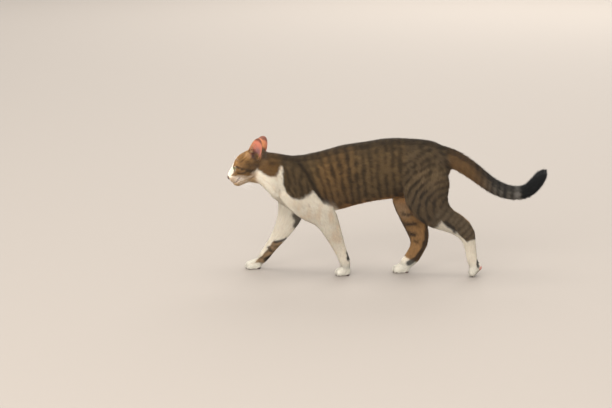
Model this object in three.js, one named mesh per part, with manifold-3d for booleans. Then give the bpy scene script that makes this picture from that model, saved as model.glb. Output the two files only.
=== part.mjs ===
// A life-size house cat in mid walk, built as solids that meet at thin cuts.
// Millimetres. The cat walks towards -X, +Z is up, and -Y is its left side. The floor is z = 0.
import * as THREE from "three";
import { LoftGeometry } from "three/addons/geometries/LoftGeometry.js";
import { mergeVertices } from "three/addons/utils/BufferGeometryUtils.js";
import Module from "manifold-3d";

const wasm = await Module();
wasm.setup();

// ---------------------------------------------------------------- driving sizes

const GAP = 0.3; // width of the cut between two neighbouring pieces
const LEFT = -1; // the side of the cat that lies towards -Y
const RIGHT = 1;

// The head is shaped in a frame of its own: the nose points to -X and the crown to +Z.
const HEAD_CENTRE = new THREE.Vector3(-268.5, 0, 227.3);
const HEAD_PITCH = 24; // degrees, nose down
const HEAD_YAW = 2; // degrees, nose to the cat's right
const HEAD_ROLL = 4; // degrees, left ear up
const EYE_RADIUS = 9.6;
const EYE_AT = new THREE.Vector3(-29.8, 16.6, -1); // the right one's centre
const EAR = {
  root: new THREE.Vector3(9, 25, 7), // the right one's foot, sunk in the head
  tip: new THREE.Vector3(36.2, 37.5, 34.6),
  facing: new THREE.Vector3(-0.62, 0.76, 0.2),
  halfWidth: 15.8,
  cup: 10, // how far the middle of the leaf is hollowed
  thickness: 3,
};
const SHOULDER_BLADE = { x: -172, y: 22, z: 226, reach: 30, height: 4 };
const HIP_BONE = { x: 78, y: 26, z: 252, reach: 26, height: 3 };

// ---------------------------------------------------------------- materials

const finish = (color, roughness = 0.85) =>
  new THREE.MeshStandardMaterial({ color, roughness, metalness: 0 });
const FINISH = {
  tabby: finish(0x5c4a34),
  white: finish(0xe9e1d4),
  dark: finish(0x1d1a18),
  ear: finish(0xc9846a),
  eye: finish(0x8d9a4c, 0.1),
};

// ---------------------------------------------------------------- shape helpers

// A geometry as a solid that can be cut and joined.
function solid(geometry) {
  const bare = new THREE.BufferGeometry();
  bare.setAttribute("position", geometry.getAttribute("position"));
  bare.setIndex(geometry.index);
  const welded = mergeVertices(bare, 1e-4);
  const corners = [...welded.index.array];
  const faces = [];
  for (let i = 0; i < corners.length; i += 3) {
    const face = corners.slice(i, i + 3);
    if (new Set(face).size === 3) faces.push(...face); // a pole's flat faces go
  }
  return new wasm.Manifold(
    new wasm.Mesh({
      numProp: 3,
      vertProperties: new Float32Array(welded.attributes.position.array),
      triVerts: new Uint32Array(faces),
    }),
  );
}

function mesh(name, body, material) {
  const { numProp, numVert, vertProperties, triVerts } = body.getMesh();
  const places = new Float32Array(numVert * 3);
  for (let i = 0; i < numVert; i++) {
    places.set(vertProperties.subarray(i * numProp, i * numProp + 3), i * 3);
  }
  const geometry = new THREE.BufferGeometry()
    .setAttribute("position", new THREE.BufferAttribute(places, 3))
    .setIndex(new THREE.BufferAttribute(triVerts, 1));
  geometry.computeVertexNormals();
  const made = new THREE.Mesh(geometry, material);
  made.name = name;
  return made;
}

const largest = (body) =>
  body.decompose().sort((a, b) => b.volume() - a.volume())[0];

// One ring of a limb or of the body: its centre, and its half widths to the side,
// to the back or top, and to the front or bottom. lean narrows the back or top edge.
const ring = (x, y, z, side, back, front, lean = 0) => ({
  at: new THREE.Vector3(x, y, z),
  half: new THREE.Vector3(side, back, front),
  lean,
});

// A closed sleeve through the rings, with rows sections of columns points.
// swell gives how far the surface at a point stands out beyond the ring's oval.
function sleeve(rings, rows, columns, swell = () => 0, grow = 0) {
  const path = new THREE.CatmullRomCurve3(rings.map((r) => r.at));
  const girth = new THREE.CatmullRomCurve3(
    rings.map((r) => r.half),
    false,
    "catmullrom",
    0.5,
  );
  const leans = new THREE.SplineCurve(
    rings.map((r, i) => new THREE.Vector2(i, r.lean)),
  );
  const sections = [];
  for (let row = 0; row <= rows; row++) {
    const t = row / rows;
    const along = path.getTangent(t);
    const side = new THREE.Vector3(0, 1, 0)
      .addScaledVector(along, -along.y)
      .normalize();
    const back = new THREE.Vector3().crossVectors(along, side);
    const half = girth.getPoint(t);
    const lean = leans.getPoint(t).y;
    const section = [];
    for (let column = 0; column < columns; column++) {
      const angle = (column / columns) * 2 * Math.PI;
      const across = Math.cos(angle) * half.x * (1 - lean * Math.sin(angle));
      const up = Math.sin(angle) * (Math.sin(angle) > 0 ? half.y : half.z);
      const out = new THREE.Vector3()
        .addScaledVector(side, across)
        .addScaledVector(back, up);
      const point = path.getPoint(t).add(out);
      point.addScaledVector(out.normalize(), swell(point) + grow);
      section.push(point);
    }
    sections.push(section);
  }
  return solid(new LoftGeometry(sections, { capStart: true, capEnd: true }));
}

// A soft round bump on each side: how far it stands out, fading with distance.
const bump = ({ x, y, z, reach, height }) => (point) =>
  [LEFT, RIGHT]
    .map((side) => point.distanceTo(new THREE.Vector3(x, side * y, z)))
    .reduce((sum, far) => sum + height * Math.exp(-((far / reach) ** 2)), 0);

// Below zero inside an ellipsoid, and about the distance to it outside.
const ball = (x, y, z, rx, ry, rz) => (point) => {
  const [dx, dy, dz] = [point.x - x, point.y - y, point.z - z];
  const near = Math.hypot(dx / rx, dy / ry, dz / rz);
  const slope = Math.hypot(dx / rx ** 2, dy / ry ** 2, dz / rz ** 2);
  return slope > 0 ? (near * (near - 1)) / slope : -Math.min(rx, ry, rz);
};

// The union of several shapes, with the creases between them filled softly.
const melt = (softness, ...shapes) => (point) =>
  shapes
    .map((shape) => shape(point))
    .reduce((a, b) => {
      const share = Math.max(softness - Math.abs(a - b), 0) / softness;
      return Math.min(a, b) - (share * share * softness) / 4;
    });

// The same shape on both sides of the middle plane.
const mirrored = (shape) => (point) =>
  shape(new THREE.Vector3(point.x, Math.abs(point.y), point.z));

// The outer surface of a melted shape. Rays leave a core line, which runs from the
// back to the front of the shape, and each stops where it comes out.
function skinOf(shape, coreBack, coreFront, reach, rows, columns, grow = 0) {
  const sections = [];
  for (let row = 0; row <= rows; row++) {
    const polar = (row / rows) * Math.PI;
    const tilt = row === 0 || row === rows ? 0 : Math.sin(polar);
    const core = new THREE.Vector3().lerpVectors(
      coreBack,
      coreFront,
      (1 - Math.cos(polar)) / 2,
    );
    const section = [];
    for (let column = 0; column < columns; column++) {
      const angle = (column / columns) * 2 * Math.PI;
      const ray = new THREE.Vector3(
        Math.cos(polar),
        tilt * Math.sin(angle),
        tilt * Math.cos(angle),
      );
      section.push(surfacePoint(shape, core, ray, reach, grow));
    }
    sections.push(section);
  }
  return new LoftGeometry(sections);
}

// Where a ray from the core last comes out of the shape.
function surfacePoint(shape, core, ray, reach, grow) {
  const at = (r) => new THREE.Vector3().copy(core).addScaledVector(ray, r);
  let outside = reach;
  while (outside > 1 && shape(at(outside - 1)) > grow) outside -= 1;
  let inside = outside - 1;
  for (let halving = 0; halving < 16; halving++) {
    const middle = (inside + outside) / 2;
    if (shape(at(middle)) > grow) outside = middle;
    else inside = middle;
  }
  return at(inside);
}

// A thin disc that cuts a limb across.
function cut(x, y, z, normal, radius) {
  const disc = new THREE.CylinderGeometry(radius, radius, GAP, 24);
  const turn = new THREE.Quaternion().setFromUnitVectors(
    new THREE.Vector3(0, 1, 0),
    new THREE.Vector3(...normal).normalize(),
  );
  disc.applyQuaternion(turn).translate(x, y, z);
  return solid(disc);
}

// The body is cut across, and each piece is named by the point that lies nearest to it.
function part(body, cuts, names) {
  const pieces = cuts
    .reduce((rest, blade) => rest.subtract(blade), body)
    .decompose()
    .sort((a, b) => b.volume() - a.volume())
    .slice(0, names.length);
  const middle = (piece) => {
    const { min, max } = piece.boundingBox();
    return new THREE.Vector3(...min).add(new THREE.Vector3(...max)).divideScalar(2);
  };
  return names.map(({ name, near, material }) => {
    const target = new THREE.Vector3(...near);
    const [nearest] = [...pieces].sort(
      (a, b) => middle(a).distanceTo(target) - middle(b).distanceTo(target),
    );
    return mesh(name, nearest, material);
  });
}

// ---------------------------------------------------------------- head

const headFrame = new THREE.Matrix4().compose(
  HEAD_CENTRE,
  new THREE.Quaternion().setFromEuler(
    new THREE.Euler(
      THREE.MathUtils.degToRad(-HEAD_ROLL),
      THREE.MathUtils.degToRad(-HEAD_PITCH),
      THREE.MathUtils.degToRad(-HEAD_YAW),
      "ZYX",
    ),
  ),
  new THREE.Vector3(1, 1, 1),
);

const headShape = mirrored(
  melt(
    9,
    ball(1, 0, -2, 32, 33, 25), // cranium
    ball(-18, 0, 6, 17, 18, 15), // forehead
    ball(-25, 16, 9, 9, 9, 6), // brow
    ball(-34, 0, 1, 9, 7, 9), // root of the nose
    ball(-44, 0, -4, 9, 5.5, 6), // bridge of the nose
    ball(-52.6, 0, -9.8, 6.8, 5.5, 5), // nose
    ball(-37, 0, -16, 16, 15, 12), // muzzle
    ball(-46, 8.5, -18, 10, 9.5, 8), // whisker pad
    ball(-45, 0, -29.5, 8.5, 8, 6), // chin
    ball(-24, 0, -25, 24, 20, 12), // lower jaw
    ball(-9, 23, -13, 18, 17, 18), // cheek
    ball(-19, 24, -6, 12, 9, 10), // cheekbone
    ball(EYE_AT.x + 1.6, EYE_AT.y - 0.6, EYE_AT.z, 10, 10, 9), // eyelids
    ball(14, 24, 8, 12, 9, 12), // root of the ear
  ),
);

const headSkin = (grow) =>
  solid(
    skinOf(
      headShape,
      new THREE.Vector3(4, 0, -5),
      new THREE.Vector3(-38, 0, -14),
      70,
      24,
      26,
      grow,
    ).applyMatrix4(headFrame),
  );

// ---------------------------------------------------------------- ears

// A cupped leaf: each section is a crescent, open to the way that the ear faces.
function ear(side) {
  const flip = new THREE.Vector3(1, side, 1);
  const root = EAR.root.clone().multiply(flip);
  const tip = EAR.tip.clone().multiply(flip);
  const along = new THREE.Vector3().subVectors(tip, root).normalize();
  const facing = EAR.facing.clone().multiply(flip);
  facing.addScaledVector(along, -facing.dot(along)).normalize();
  const across = new THREE.Vector3().crossVectors(facing, along);
  const rows = 9;
  const half = 6;
  const sections = [];
  for (let row = 0; row <= rows; row++) {
    const v = row / rows;
    const centre = new THREE.Vector3().lerpVectors(root, tip, v);
    const taper = Math.sqrt(1 - Math.max(0, (v - 0.3) / 0.71) ** 1.7);
    const width = EAR.halfWidth * taper;
    const depth = EAR.cup * taper * (1 - 0.45 * v);
    const thickness = EAR.thickness * (1 - 0.5 * v);
    const section = [];
    for (let i = 0; i < 2 * half; i++) {
      const outer = i < half;
      const s = outer ? -1 + (2 * i) / half : 1 - (2 * (i - half)) / half;
      const sunk = depth * (1 - s * s);
      const wall = outer ? thickness : 0;
      section.push(
        centre
          .clone()
          .addScaledVector(across, width * s)
          .addScaledVector(facing, -sunk - wall * (1 - 0.35 * s * s)),
      );
    }
    sections.push(section);
  }
  const leaf = new LoftGeometry(sections, { capStart: true, capEnd: true });
  return solid(leaf.applyMatrix4(headFrame));
}

// ---------------------------------------------------------------- trunk, neck and tail

const TRUNK = [
  ring(-281, 0, 206, 19, 18, 25), // inside the head
  ring(-264, 0, 211, 28, 30, 31),
  ring(-245, 0, 212, 32, 34, 35), // nape and throat
  ring(-222, 0, 203, 34, 39.5, 42, 0.05),
  ring(-196, 0, 191, 37, 46.5, 54, 0.12), // front of the chest
  ring(-160, 0, 184, 41, 54.5, 62, 0.15), // withers
  ring(-120, 0, 190, 43, 58.5, 65, 0.1),
  ring(-78, 0, 201, 44, 60.5, 64, 0.06), // ribs
  ring(-35, 0, 210, 42, 58, 63, 0.04),
  ring(8, 0, 216, 40, 59.5, 63, 0.06), // waist, under the top of the arched back
  ring(50, 0, 219, 38, 55, 58, 0.1),
  ring(85, 0, 221, 35, 49, 47, 0.12), // hips
  ring(106, 0, 223, 28, 42, 34, 0.1), // rump
  ring(119, 0, 225, 19, 30, 24),
  ring(124, 0, 226, 9, 14, 12),
];

const shoulderBlades = bump(SHOULDER_BLADE);
const hipBones = bump(HIP_BONE);
const muscle = (point) => shoulderBlades(point) + hipBones(point);

const TAIL = [
  ring(92, 0, 238, 16, 24, 20),
  ring(120, 0, 237, 17, 22, 21),
  ring(146, 0, 226, 17, 18, 19),
  ring(168, 0, 212, 16, 17, 18),
  ring(192, 0, 192, 15.5, 16, 15.5),
  ring(214, 0, 177, 15.5, 16, 15),
  ring(238, 0, 168, 15, 15, 14.5),
  ring(259, 0, 166, 15, 14.5, 14.5),
  ring(276, 0, 169.5, 14.5, 14, 14.5),
  ring(290, 0, 181, 14.5, 14, 14.5),
  ring(301, 0, 195.5, 13.5, 13, 13.5),
  ring(308, 0, 205, 11, 10.5, 11),
  ring(312, 0, 211, 7, 7, 7),
  ring(314, 0, 213.5, 3, 3, 3),
];

// ---------------------------------------------------------------- legs

const LEGS = {
  foreleg_left: [
    ring(-201, -20, 180, 14, 26, 25),
    ring(-184, -27, 165, 17, 32, 31),
    ring(-156, -30, 146, 17, 32, 34),
    ring(-128, -31, 126, 16, 28, 29),
    ring(-114, -30, 104, 14, 21, 22),
    ring(-105, -28, 84, 12, 17, 18),
    ring(-96, -25, 62, 10.5, 13.5, 14),
    ring(-88, -24, 43, 9.5, 11, 12),
    ring(-83, -23, 27, 10, 11, 11),
    ring(-82, -23, 14, 10, 9, 8),
  ],
  foreleg_right: [
    ring(-192, 20, 188, 14, 28, 26),
    ring(-190, 27, 165, 17, 31, 31),
    ring(-190, 31, 138, 17, 28, 31),
    ring(-195, 33, 112, 15, 25, 27),
    ring(-208, 34, 86, 13, 20, 20),
    ring(-222, 35, 63, 11, 15, 15),
    ring(-236, 35, 44, 10, 12, 12),
    ring(-247, 35, 28, 10, 11, 11),
    ring(-256, 35, 15, 9, 8, 9),
  ],
  hindleg_left: [
    ring(84, -14, 232, 16, 30, 26),
    ring(80, -21, 210, 22, 44, 38),
    ring(77, -25, 184, 23, 48, 46),
    ring(80, -27, 156, 21, 44, 45),
    ring(94, -28, 132, 18, 37, 35),
    ring(115, -28, 116, 15, 27, 24),
    ring(138, -26, 104, 12.5, 24, 19.5),
    ring(156, -24, 90, 11, 20, 18),
    ring(164, -22, 70, 10, 13, 13),
    ring(168, -21, 47, 9.5, 11, 11),
    ring(172, -20, 27, 10, 10.5, 10.5),
    ring(177, -20, 16, 9, 8, 8),
  ],
  hindleg_right: [
    ring(84, 14, 232, 16, 28, 26),
    ring(74, 21, 210, 22, 42, 38),
    ring(60, 25, 184, 23, 44, 43),
    ring(48, 27, 155, 21, 42, 41),
    ring(50, 27, 128, 18, 36, 34),
    ring(55, 25, 104, 15, 27, 26),
    ring(61, 22, 84, 12.5, 23, 22),
    ring(64, 19, 66, 11, 21, 18),
    ring(59, 16, 47, 10, 17, 14.5),
    ring(47, 13, 30, 10, 17.5, 12.5),
    ring(34, 12, 17, 9, 13, 9),
  ],
};

// A paw in its own frame: the toes point to -X, and the sole is flat on the floor.
const TOES = [
  [-10.5, 4.4],
  [-7.5, 11],
];
const pawShape = mirrored(
  melt(
    3,
    ball(3, 0, 12, 13, 11, 11), // instep
    ball(3, 0, 5, 11, 11, 7), // main pad
    ...TOES.map(([x, y]) => ball(x, y, 8, 9, 5, 8.5)),
  ),
);
const PAWS = {
  foreleg_left: { at: [-86, -23, -1], length: 0.92, tilt: 0 },
  foreleg_right: { at: [-269, 35, -1], length: 1, tilt: 0 },
  hindleg_left: { at: [182.5, -20, 10.5], length: 0.95, tilt: 52 },
  hindleg_right: { at: [30, 12, -1], length: 1.05, tilt: 0 },
};

function paw({ at, length, tilt }) {
  const foot = skinOf(
    pawShape,
    new THREE.Vector3(4, 0, 9),
    new THREE.Vector3(-5, 0, 8),
    32,
    10,
    12,
  );
  foot.scale(length, 0.95, 0.95);
  foot.rotateY(THREE.MathUtils.degToRad(-tilt));
  foot.translate(...at);
  return solid(foot);
}

// ---------------------------------------------------------------- the whole cat

const cat = new THREE.Group();
const add = (...meshes) => cat.add(...meshes);

const trunkSleeve = sleeve(TRUNK, 24, 20, muscle);
const trunkGrown = sleeve(TRUNK, 24, 20, muscle, GAP);
const floor = solid(
  new THREE.BoxGeometry(900, 400, 60).translate(0, 0, -30),
);

const eyes = [LEFT, RIGHT].map((side) => {
  const at = new THREE.Vector3(EYE_AT.x, EYE_AT.y * side, EYE_AT.z);
  at.applyMatrix4(headFrame);
  const globe = (radius) =>
    solid(new THREE.SphereGeometry(radius, 12, 8).translate(at.x, at.y, at.z));
  return { eyeball: globe(EYE_RADIUS), socket: globe(EYE_RADIUS + GAP) };
});

const front = eyes.reduce(
  (body, { socket }) => body.subtract(socket),
  headSkin(0).add(trunkSleeve),
);
add(
  ...part(
    front,
    [cut(-243, 0, 214, [1, 0, -0.35], 75), cut(-203, 0, 190, [1, 0, -0.3], 90)],
    [
      { name: "head", near: [-280, 0, 215], material: FINISH.tabby },
      { name: "neck", near: [-222, 0, 205], material: FINISH.tabby },
      { name: "trunk", near: [-30, 0, 205], material: FINISH.tabby },
    ],
  ),
);
add(mesh("eye_left", eyes[0].eyeball, FINISH.eye));
add(mesh("eye_right", eyes[1].eyeball, FINISH.eye));

const headGrown = headSkin(GAP);
for (const [name, side] of [
  ["ear_left", LEFT],
  ["ear_right", RIGHT],
]) {
  const leaf = ear(side).subtract(headGrown).subtract(trunkGrown);
  add(mesh(name, largest(leaf), FINISH.ear));
}

const tail = largest(sleeve(TAIL, 18, 12).subtract(trunkGrown));
add(
  ...part(
    tail,
    [cut(180, 0, 202, [1, 0, -0.8], 30), cut(257, 0, 165.5, [1, 0, 0.1], 30)],
    [
      { name: "tail_root", near: [150, 0, 222], material: FINISH.tabby },
      { name: "tail_middle", near: [215, 0, 177], material: FINISH.tabby },
      { name: "tail_tip", near: [295, 0, 185], material: FINISH.dark },
    ],
  ),
);

const LEG_PARTS = {
  foreleg_left: {
    cuts: [
      cut(-119, -30, 112, [0.35, 0, -1], 45),
      cut(-84, -26, 33, [0.3, 0, -1], 25),
    ],
    names: [
      { name: "upper_arm_left", near: [-160, -30, 145], material: FINISH.white },
      { name: "forearm_left", near: [-100, -28, 70], material: FINISH.white },
      { name: "forepaw_left", near: [-86, -26, 14], material: FINISH.white },
    ],
  },
  foreleg_right: {
    cuts: [
      cut(-195, 33, 112, [-0.4, 0, -1], 50),
      cut(-243, 35, 34, [-0.8, 0, -1], 25),
    ],
    names: [
      { name: "upper_arm_right", near: [-190, 30, 145], material: FINISH.white },
      { name: "forearm_right", near: [-220, 35, 70], material: FINISH.white },
      { name: "forepaw_right", near: [-268, 35, 14], material: FINISH.white },
    ],
  },
  hindleg_left: {
    cuts: [
      cut(96, -28, 130, [0.75, 0, -0.7], 60),
      cut(160, -25, 80, [0.5, 0, -1], 30),
      cut(172, -23, 24, [0.1, 0, -1], 22),
    ],
    names: [
      { name: "thigh_left", near: [78, -25, 180], material: FINISH.tabby },
      { name: "shank_left", near: [130, -28, 105], material: FINISH.tabby },
      { name: "hock_left", near: [168, -24, 50], material: FINISH.white },
      { name: "hindpaw_left", near: [178, -22, 12], material: FINISH.white },
    ],
  },
  hindleg_right: {
    cuts: [
      cut(50, 27, 130, [0.05, 0, -1], 60),
      cut(63, 18, 58, [-0.3, 0, -1], 32),
      cut(43, 13, 26, [-0.9, 0, -1], 24),
    ],
    names: [
      { name: "thigh_right", near: [58, 25, 175], material: FINISH.tabby },
      { name: "shank_right", near: [57, 25, 95], material: FINISH.tabby },
      { name: "hock_right", near: [56, 15, 42], material: FINISH.tabby },
      { name: "hindpaw_right", near: [30, 12, 12], material: FINISH.white },
    ],
  },
};
for (const [leg, { cuts, names }] of Object.entries(LEG_PARTS)) {
  const limb = sleeve(LEGS[leg], 15, 12).add(paw(PAWS[leg]));
  const free = largest(limb.subtract(trunkGrown).subtract(floor));
  add(...part(free, cuts, names));
}

export default cat;
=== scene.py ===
# %% [markdown]
# # A tabby cat in mid walk
# This lesson dresses a life-size model of a house cat. The solid pieces of the cat come from
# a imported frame, in metres: +Z is up, the cat walks towards -X, and its left side is at -Y.
# We turn those plain solids into one smooth skin, sculpt the face, paint the markings, and
# then lay a coat of small solid tufts over everything.

# %% Load the frame
import math

import bmesh
import bpy
import numpy as np
from mathutils import Euler, Matrix, Vector
from mathutils.bvhtree import BVHTree


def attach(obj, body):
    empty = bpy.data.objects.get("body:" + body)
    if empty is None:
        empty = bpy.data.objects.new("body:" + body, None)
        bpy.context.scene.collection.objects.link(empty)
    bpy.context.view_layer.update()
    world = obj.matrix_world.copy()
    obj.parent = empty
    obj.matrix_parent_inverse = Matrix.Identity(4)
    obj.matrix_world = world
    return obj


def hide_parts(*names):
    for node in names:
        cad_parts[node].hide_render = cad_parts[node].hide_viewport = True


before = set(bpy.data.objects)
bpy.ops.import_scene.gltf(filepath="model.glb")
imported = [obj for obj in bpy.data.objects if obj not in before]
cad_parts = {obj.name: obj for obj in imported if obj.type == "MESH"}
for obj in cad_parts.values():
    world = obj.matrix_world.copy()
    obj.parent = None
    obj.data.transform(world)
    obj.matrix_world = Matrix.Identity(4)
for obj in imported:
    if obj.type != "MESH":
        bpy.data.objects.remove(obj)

MM = 0.001
LEFT, RIGHT = -1, 1
SEED = 11
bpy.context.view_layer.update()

# %% [markdown]
# ## Camera
# A long lens far from the cat keeps the legs' proportions true. The camera looks at the cat's
# left side, a little from behind and a little from above, and the cat sits right of the middle
# of the frame, with room in front of it to walk into.

# %% Camera
TARGET = Vector((-162, 0, 140)) * MM
CAMERA_FAR = 4.0
CAMERA_AZIMUTH = math.radians(3)
CAMERA_RISE = math.radians(10)
FRAME_WIDTH = 1.224  # metres of scene that the frame spans at the cat
SENSOR = 36

towards_camera = Vector((
    math.sin(CAMERA_AZIMUTH) * math.cos(CAMERA_RISE),
    -math.cos(CAMERA_AZIMUTH) * math.cos(CAMERA_RISE),
    math.sin(CAMERA_RISE),
))
camera_data = bpy.data.cameras.new("camera")
camera_data.sensor_width = SENSOR
camera_data.lens = SENSOR * CAMERA_FAR / FRAME_WIDTH
camera = bpy.data.objects.new("camera", camera_data)
camera.location = TARGET + towards_camera * CAMERA_FAR
camera.rotation_euler = towards_camera.to_track_quat("Z", "Y").to_euler()
bpy.context.scene.collection.objects.link(camera)
bpy.context.scene.camera = camera
print("lens", round(camera_data.lens, 1), "mm")

# %% [markdown]
# ## Floor
# The floor is one wide pale sheet, too wide for its edges to show. It is rough and matt, so
# that it mirrors no lamp. The small helpers here make a mesh and an object out of a shape, and
# they serve the whole file.

# %% Floor
FLOOR_SIZE = 26
FLOOR_COLOR = (0.272, 0.238, 0.206)


def flat_material(name, color, roughness):
    material = bpy.data.materials.new(name)
    material.use_nodes = True
    shader = material.node_tree.nodes["Principled BSDF"]
    shader.inputs["Base Color"].default_value = (*color, 1)
    shader.inputs["Roughness"].default_value = roughness
    return material


def new_object(name, mesh):
    made = bpy.data.objects.new(name, mesh)
    bpy.context.scene.collection.objects.link(made)
    return made


def mesh_of(shape, name):
    mesh = bpy.data.meshes.new(name)
    shape.to_mesh(mesh)
    shape.free()
    return mesh


floor_shape = bmesh.new()
bmesh.ops.create_grid(floor_shape, x_segments=1, y_segments=1, size=FLOOR_SIZE / 2)
floor = new_object("floor", mesh_of(floor_shape, "floor"))
floor.data.materials.append(flat_material("pale_floor", FLOOR_COLOR, roughness=0.95))
print("floor of", FLOOR_SIZE, "metres")

# %% [markdown]
# ## Light
# A lamp as large as a window lights the near side softly. One lamp above and one far behind
# brighten the back and the far side, and a weak low one lifts the shadows under the chin and
# the belly. A pale sky does the rest, as an overcast day would. The bigger a lamp is, the
# softer the edges of its shadows are.

# %% Lamps and sky
LAMP_AIM = Vector((-0.1, 0, 0.15))
SKY_STRENGTH = 1.25


def soft_lamp(name, place, size, power, color):
    data = bpy.data.lights.new(name, "AREA")
    data.size = size
    data.energy = power
    data.color = color
    lamp = bpy.data.objects.new(name, data)
    lamp.location = Vector(place)
    lamp.rotation_euler = (lamp.location - LAMP_AIM).to_track_quat("Z", "Y").to_euler()
    bpy.context.scene.collection.objects.link(lamp)


soft_lamp("sky_lamp", (-0.4, 0.5, 5.0), 4.2, 175, (1.0, 0.98, 0.95))
soft_lamp("fill_lamp", (-1.0, -5.0, 1.3), 4.4, 490, (1.0, 0.975, 0.945))
soft_lamp("back_lamp", (1.2, 7.5, 3.6), 4.5, 380, (1.0, 0.985, 0.96))
soft_lamp("bounce_lamp", (-2.6, -2.6, 0.35), 2.4, 60, (1.0, 0.97, 0.93))
world = bpy.data.worlds.new("sky")
world.use_nodes = True
world.node_tree.nodes["Background"].inputs["Color"].default_value = (1, 0.99, 0.975, 1)
world.node_tree.nodes["Background"].inputs["Strength"].default_value = SKY_STRENGTH
bpy.context.scene.world = world
bpy.context.scene.view_settings.view_transform = "Standard"
print(len(bpy.data.lights), "lamps")

# %% [markdown]
# ## The lie of the coat
# Fur grows in a direction. On the body it points to the tail and a little down, on the legs it
# points to the paws, and on the face it fans out from the nose. We write this down once, as
# lines through the cat. Each point of a line says where it is, how thick the coat is there,
# and how long its tufts are, all in millimetres. Every spot of skin later borrows from the
# lines that run closest to it.

# %% Lines through the body
LIE = {
    "body": [
        (-240, 0, 212, 3.8, 8.9), (-205, 0, 198, 4.2, 10.4), (-165, 0, 186, 4.2, 11.1),
        (-110, 0, 190, 4.2, 11.8), (-40, 0, 208, 4.2, 11.8), (20, 0, 217, 4.2, 11.8),
        (80, 0, 222, 4.2, 11.8), (118, 0, 228, 4.2, 11.8),
    ],
    "tail": [
        (122, 0, 236, 4.2, 12.6), (146, 0, 226, 5, 13.3), (180, 0, 202, 5, 13.3),
        (214, 0, 177, 5, 13.3), (240, 0, 167, 5, 13.3), (262, 0, 166, 5, 13.3),
        (290, 0, 181, 5, 12.6), (312, 0, 210, 5, 11.1),
    ],
    "foreleg_left": [
        (-196, -24, 178, 3.8, 10.4), (-156, -31, 146, 3.4, 9.6), (-118, -31, 112, 2.8, 7.4),
        (-96, -25, 62, 2, 6), (-84, -23, 30, 1.5, 5), (-87, -23, 12, 1, 3.4), (-106, -23, 8, 0.8, 3),
    ],
    "foreleg_right": [
        (-192, 24, 180, 3.8, 10.4), (-190, 31, 140, 3.4, 9.6), (-200, 33, 100, 2.8, 7.4),
        (-224, 35, 62, 2, 6), (-250, 35, 27, 1.5, 5), (-268, 35, 13, 1, 3.4), (-289, 35, 8, 0.8, 3),
    ],
    "hindleg_left": [
        (86, -22, 215, 4, 11.1), (77, -27, 175, 3.8, 10.4), (92, -29, 135, 3.4, 9.6),
        (137, -27, 103, 2.8, 7.4), (160, -24, 85, 2.3, 6), (167, -21, 50, 1.8, 5.1),
        (174, -20, 24, 1.3, 4), (182, -20, 4, 0.8, 3),
    ],
    "hindleg_right": [
        (80, 22, 212, 4, 11.1), (58, 27, 172, 3.8, 10.4), (51, 26, 128, 3.4, 8.9),
        (62, 21, 82, 2.8, 7.6), (60, 17, 52, 2, 5.1), (36, 13, 20, 1.2, 4), (10, 12, 8, 0.8, 3),
    ],
}
NOSE = (-324, 0, 194)  # the coat of the head fans out from a point just before the nose
print(len(LIE), "lines with", sum(len(line) for line in LIE.values()), "points")

# %% [markdown]
# ## The head's own frame
# The head is pitched down, turned a little to the cat's right and tilted. Its features are
# easier to place in a frame that is square to the head: -X towards the nose, +Z to the crown.

# %% Head frame
HEAD_CENTRE = Vector((-268.5, 0, 227.3)) * MM
HEAD_TURN = Euler((math.radians(-4), math.radians(-24), math.radians(-2)), "XYZ")
head_frame = Matrix.Translation(HEAD_CENTRE) @ HEAD_TURN.to_matrix().to_4x4()
to_head = np.array(head_frame.inverted())
EYE_AT = np.array((-29.8, 16.6, -1))
EYE_RADIUS = 9.6
EAR_ROOT = np.array((9, 25, 7))
EAR_TIP = np.array((36.2, 37.5, 34.6))
EAR_FACING = np.array((-0.62, 0.76, 0.2))


def in_head(points):
    """Places in metres as millimetres in the head's frame."""
    return (points @ to_head[:3, :3].T + to_head[:3, 3]) / MM


def from_head(points):
    """Millimetres in the head's frame as places in metres."""
    turn = np.array(head_frame)
    return points * MM @ turn[:3, :3].T + turn[:3, 3]


def smoothstep(low, high, value):
    t = np.clip((value - low) / (high - low), 0, 1)
    return t * t * (3 - 2 * t)


def unit(vectors):
    return vectors / np.maximum(np.linalg.norm(vectors, axis=1, keepdims=True), 1e-9)


print("left eye at", from_head(EYE_AT * (1, LEFT, 1)).round(3))

# %% [markdown]
# ## One skin over all pieces of flesh
# The solids are separate pieces with hair-thin cuts between them, but a cat has one skin. A
# voxel remesh melts closed shapes that overlap into one, so each piece is first swollen by a
# fraction of a millimetre to close the cuts. The eyeballs melt in too, swollen a little more,
# only to fill their sockets. Smoothing then removes the flat facets.

# %% Melt the flesh together
FLESH = [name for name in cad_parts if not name.startswith("eye_")]
EYES = ("eye_left", "eye_right")
SWELL = 0.25 * MM
PLUG_SWELL = 0.6 * MM
VOXEL = 2.2 * MM


def swollen_copy(name, swell):
    """A copy of one solid that stands out by `swell` on all sides."""
    piece = bmesh.new()
    piece.from_mesh(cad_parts[name].data)
    bmesh.ops.remove_doubles(piece, verts=piece.verts, dist=0.01 * MM)
    piece.normal_update()
    for vert in piece.verts:
        vert.co += vert.normal * swell
    return mesh_of(piece, name + "_copy")


flesh = bmesh.new()
for name in FLESH:
    if name.startswith("ear_"):
        continue  # too thin for the voxels, and made later
    flesh.from_mesh(swollen_copy(name, SWELL))
for name in EYES:
    flesh.from_mesh(swollen_copy(name, PLUG_SWELL))
skin = new_object("skin", mesh_of(flesh, "skin"))
remesh = skin.modifiers.new("melt", "REMESH")
remesh.mode = "VOXEL"
remesh.voxel_size = VOXEL
depsgraph = bpy.context.evaluated_depsgraph_get()
melted = bpy.data.meshes.new_from_object(skin.evaluated_get(depsgraph))
skin.modifiers.clear()
skin.data = melted
print("melted skin:", len(melted.vertices), "points,", len(melted.polygons), "faces")

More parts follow.
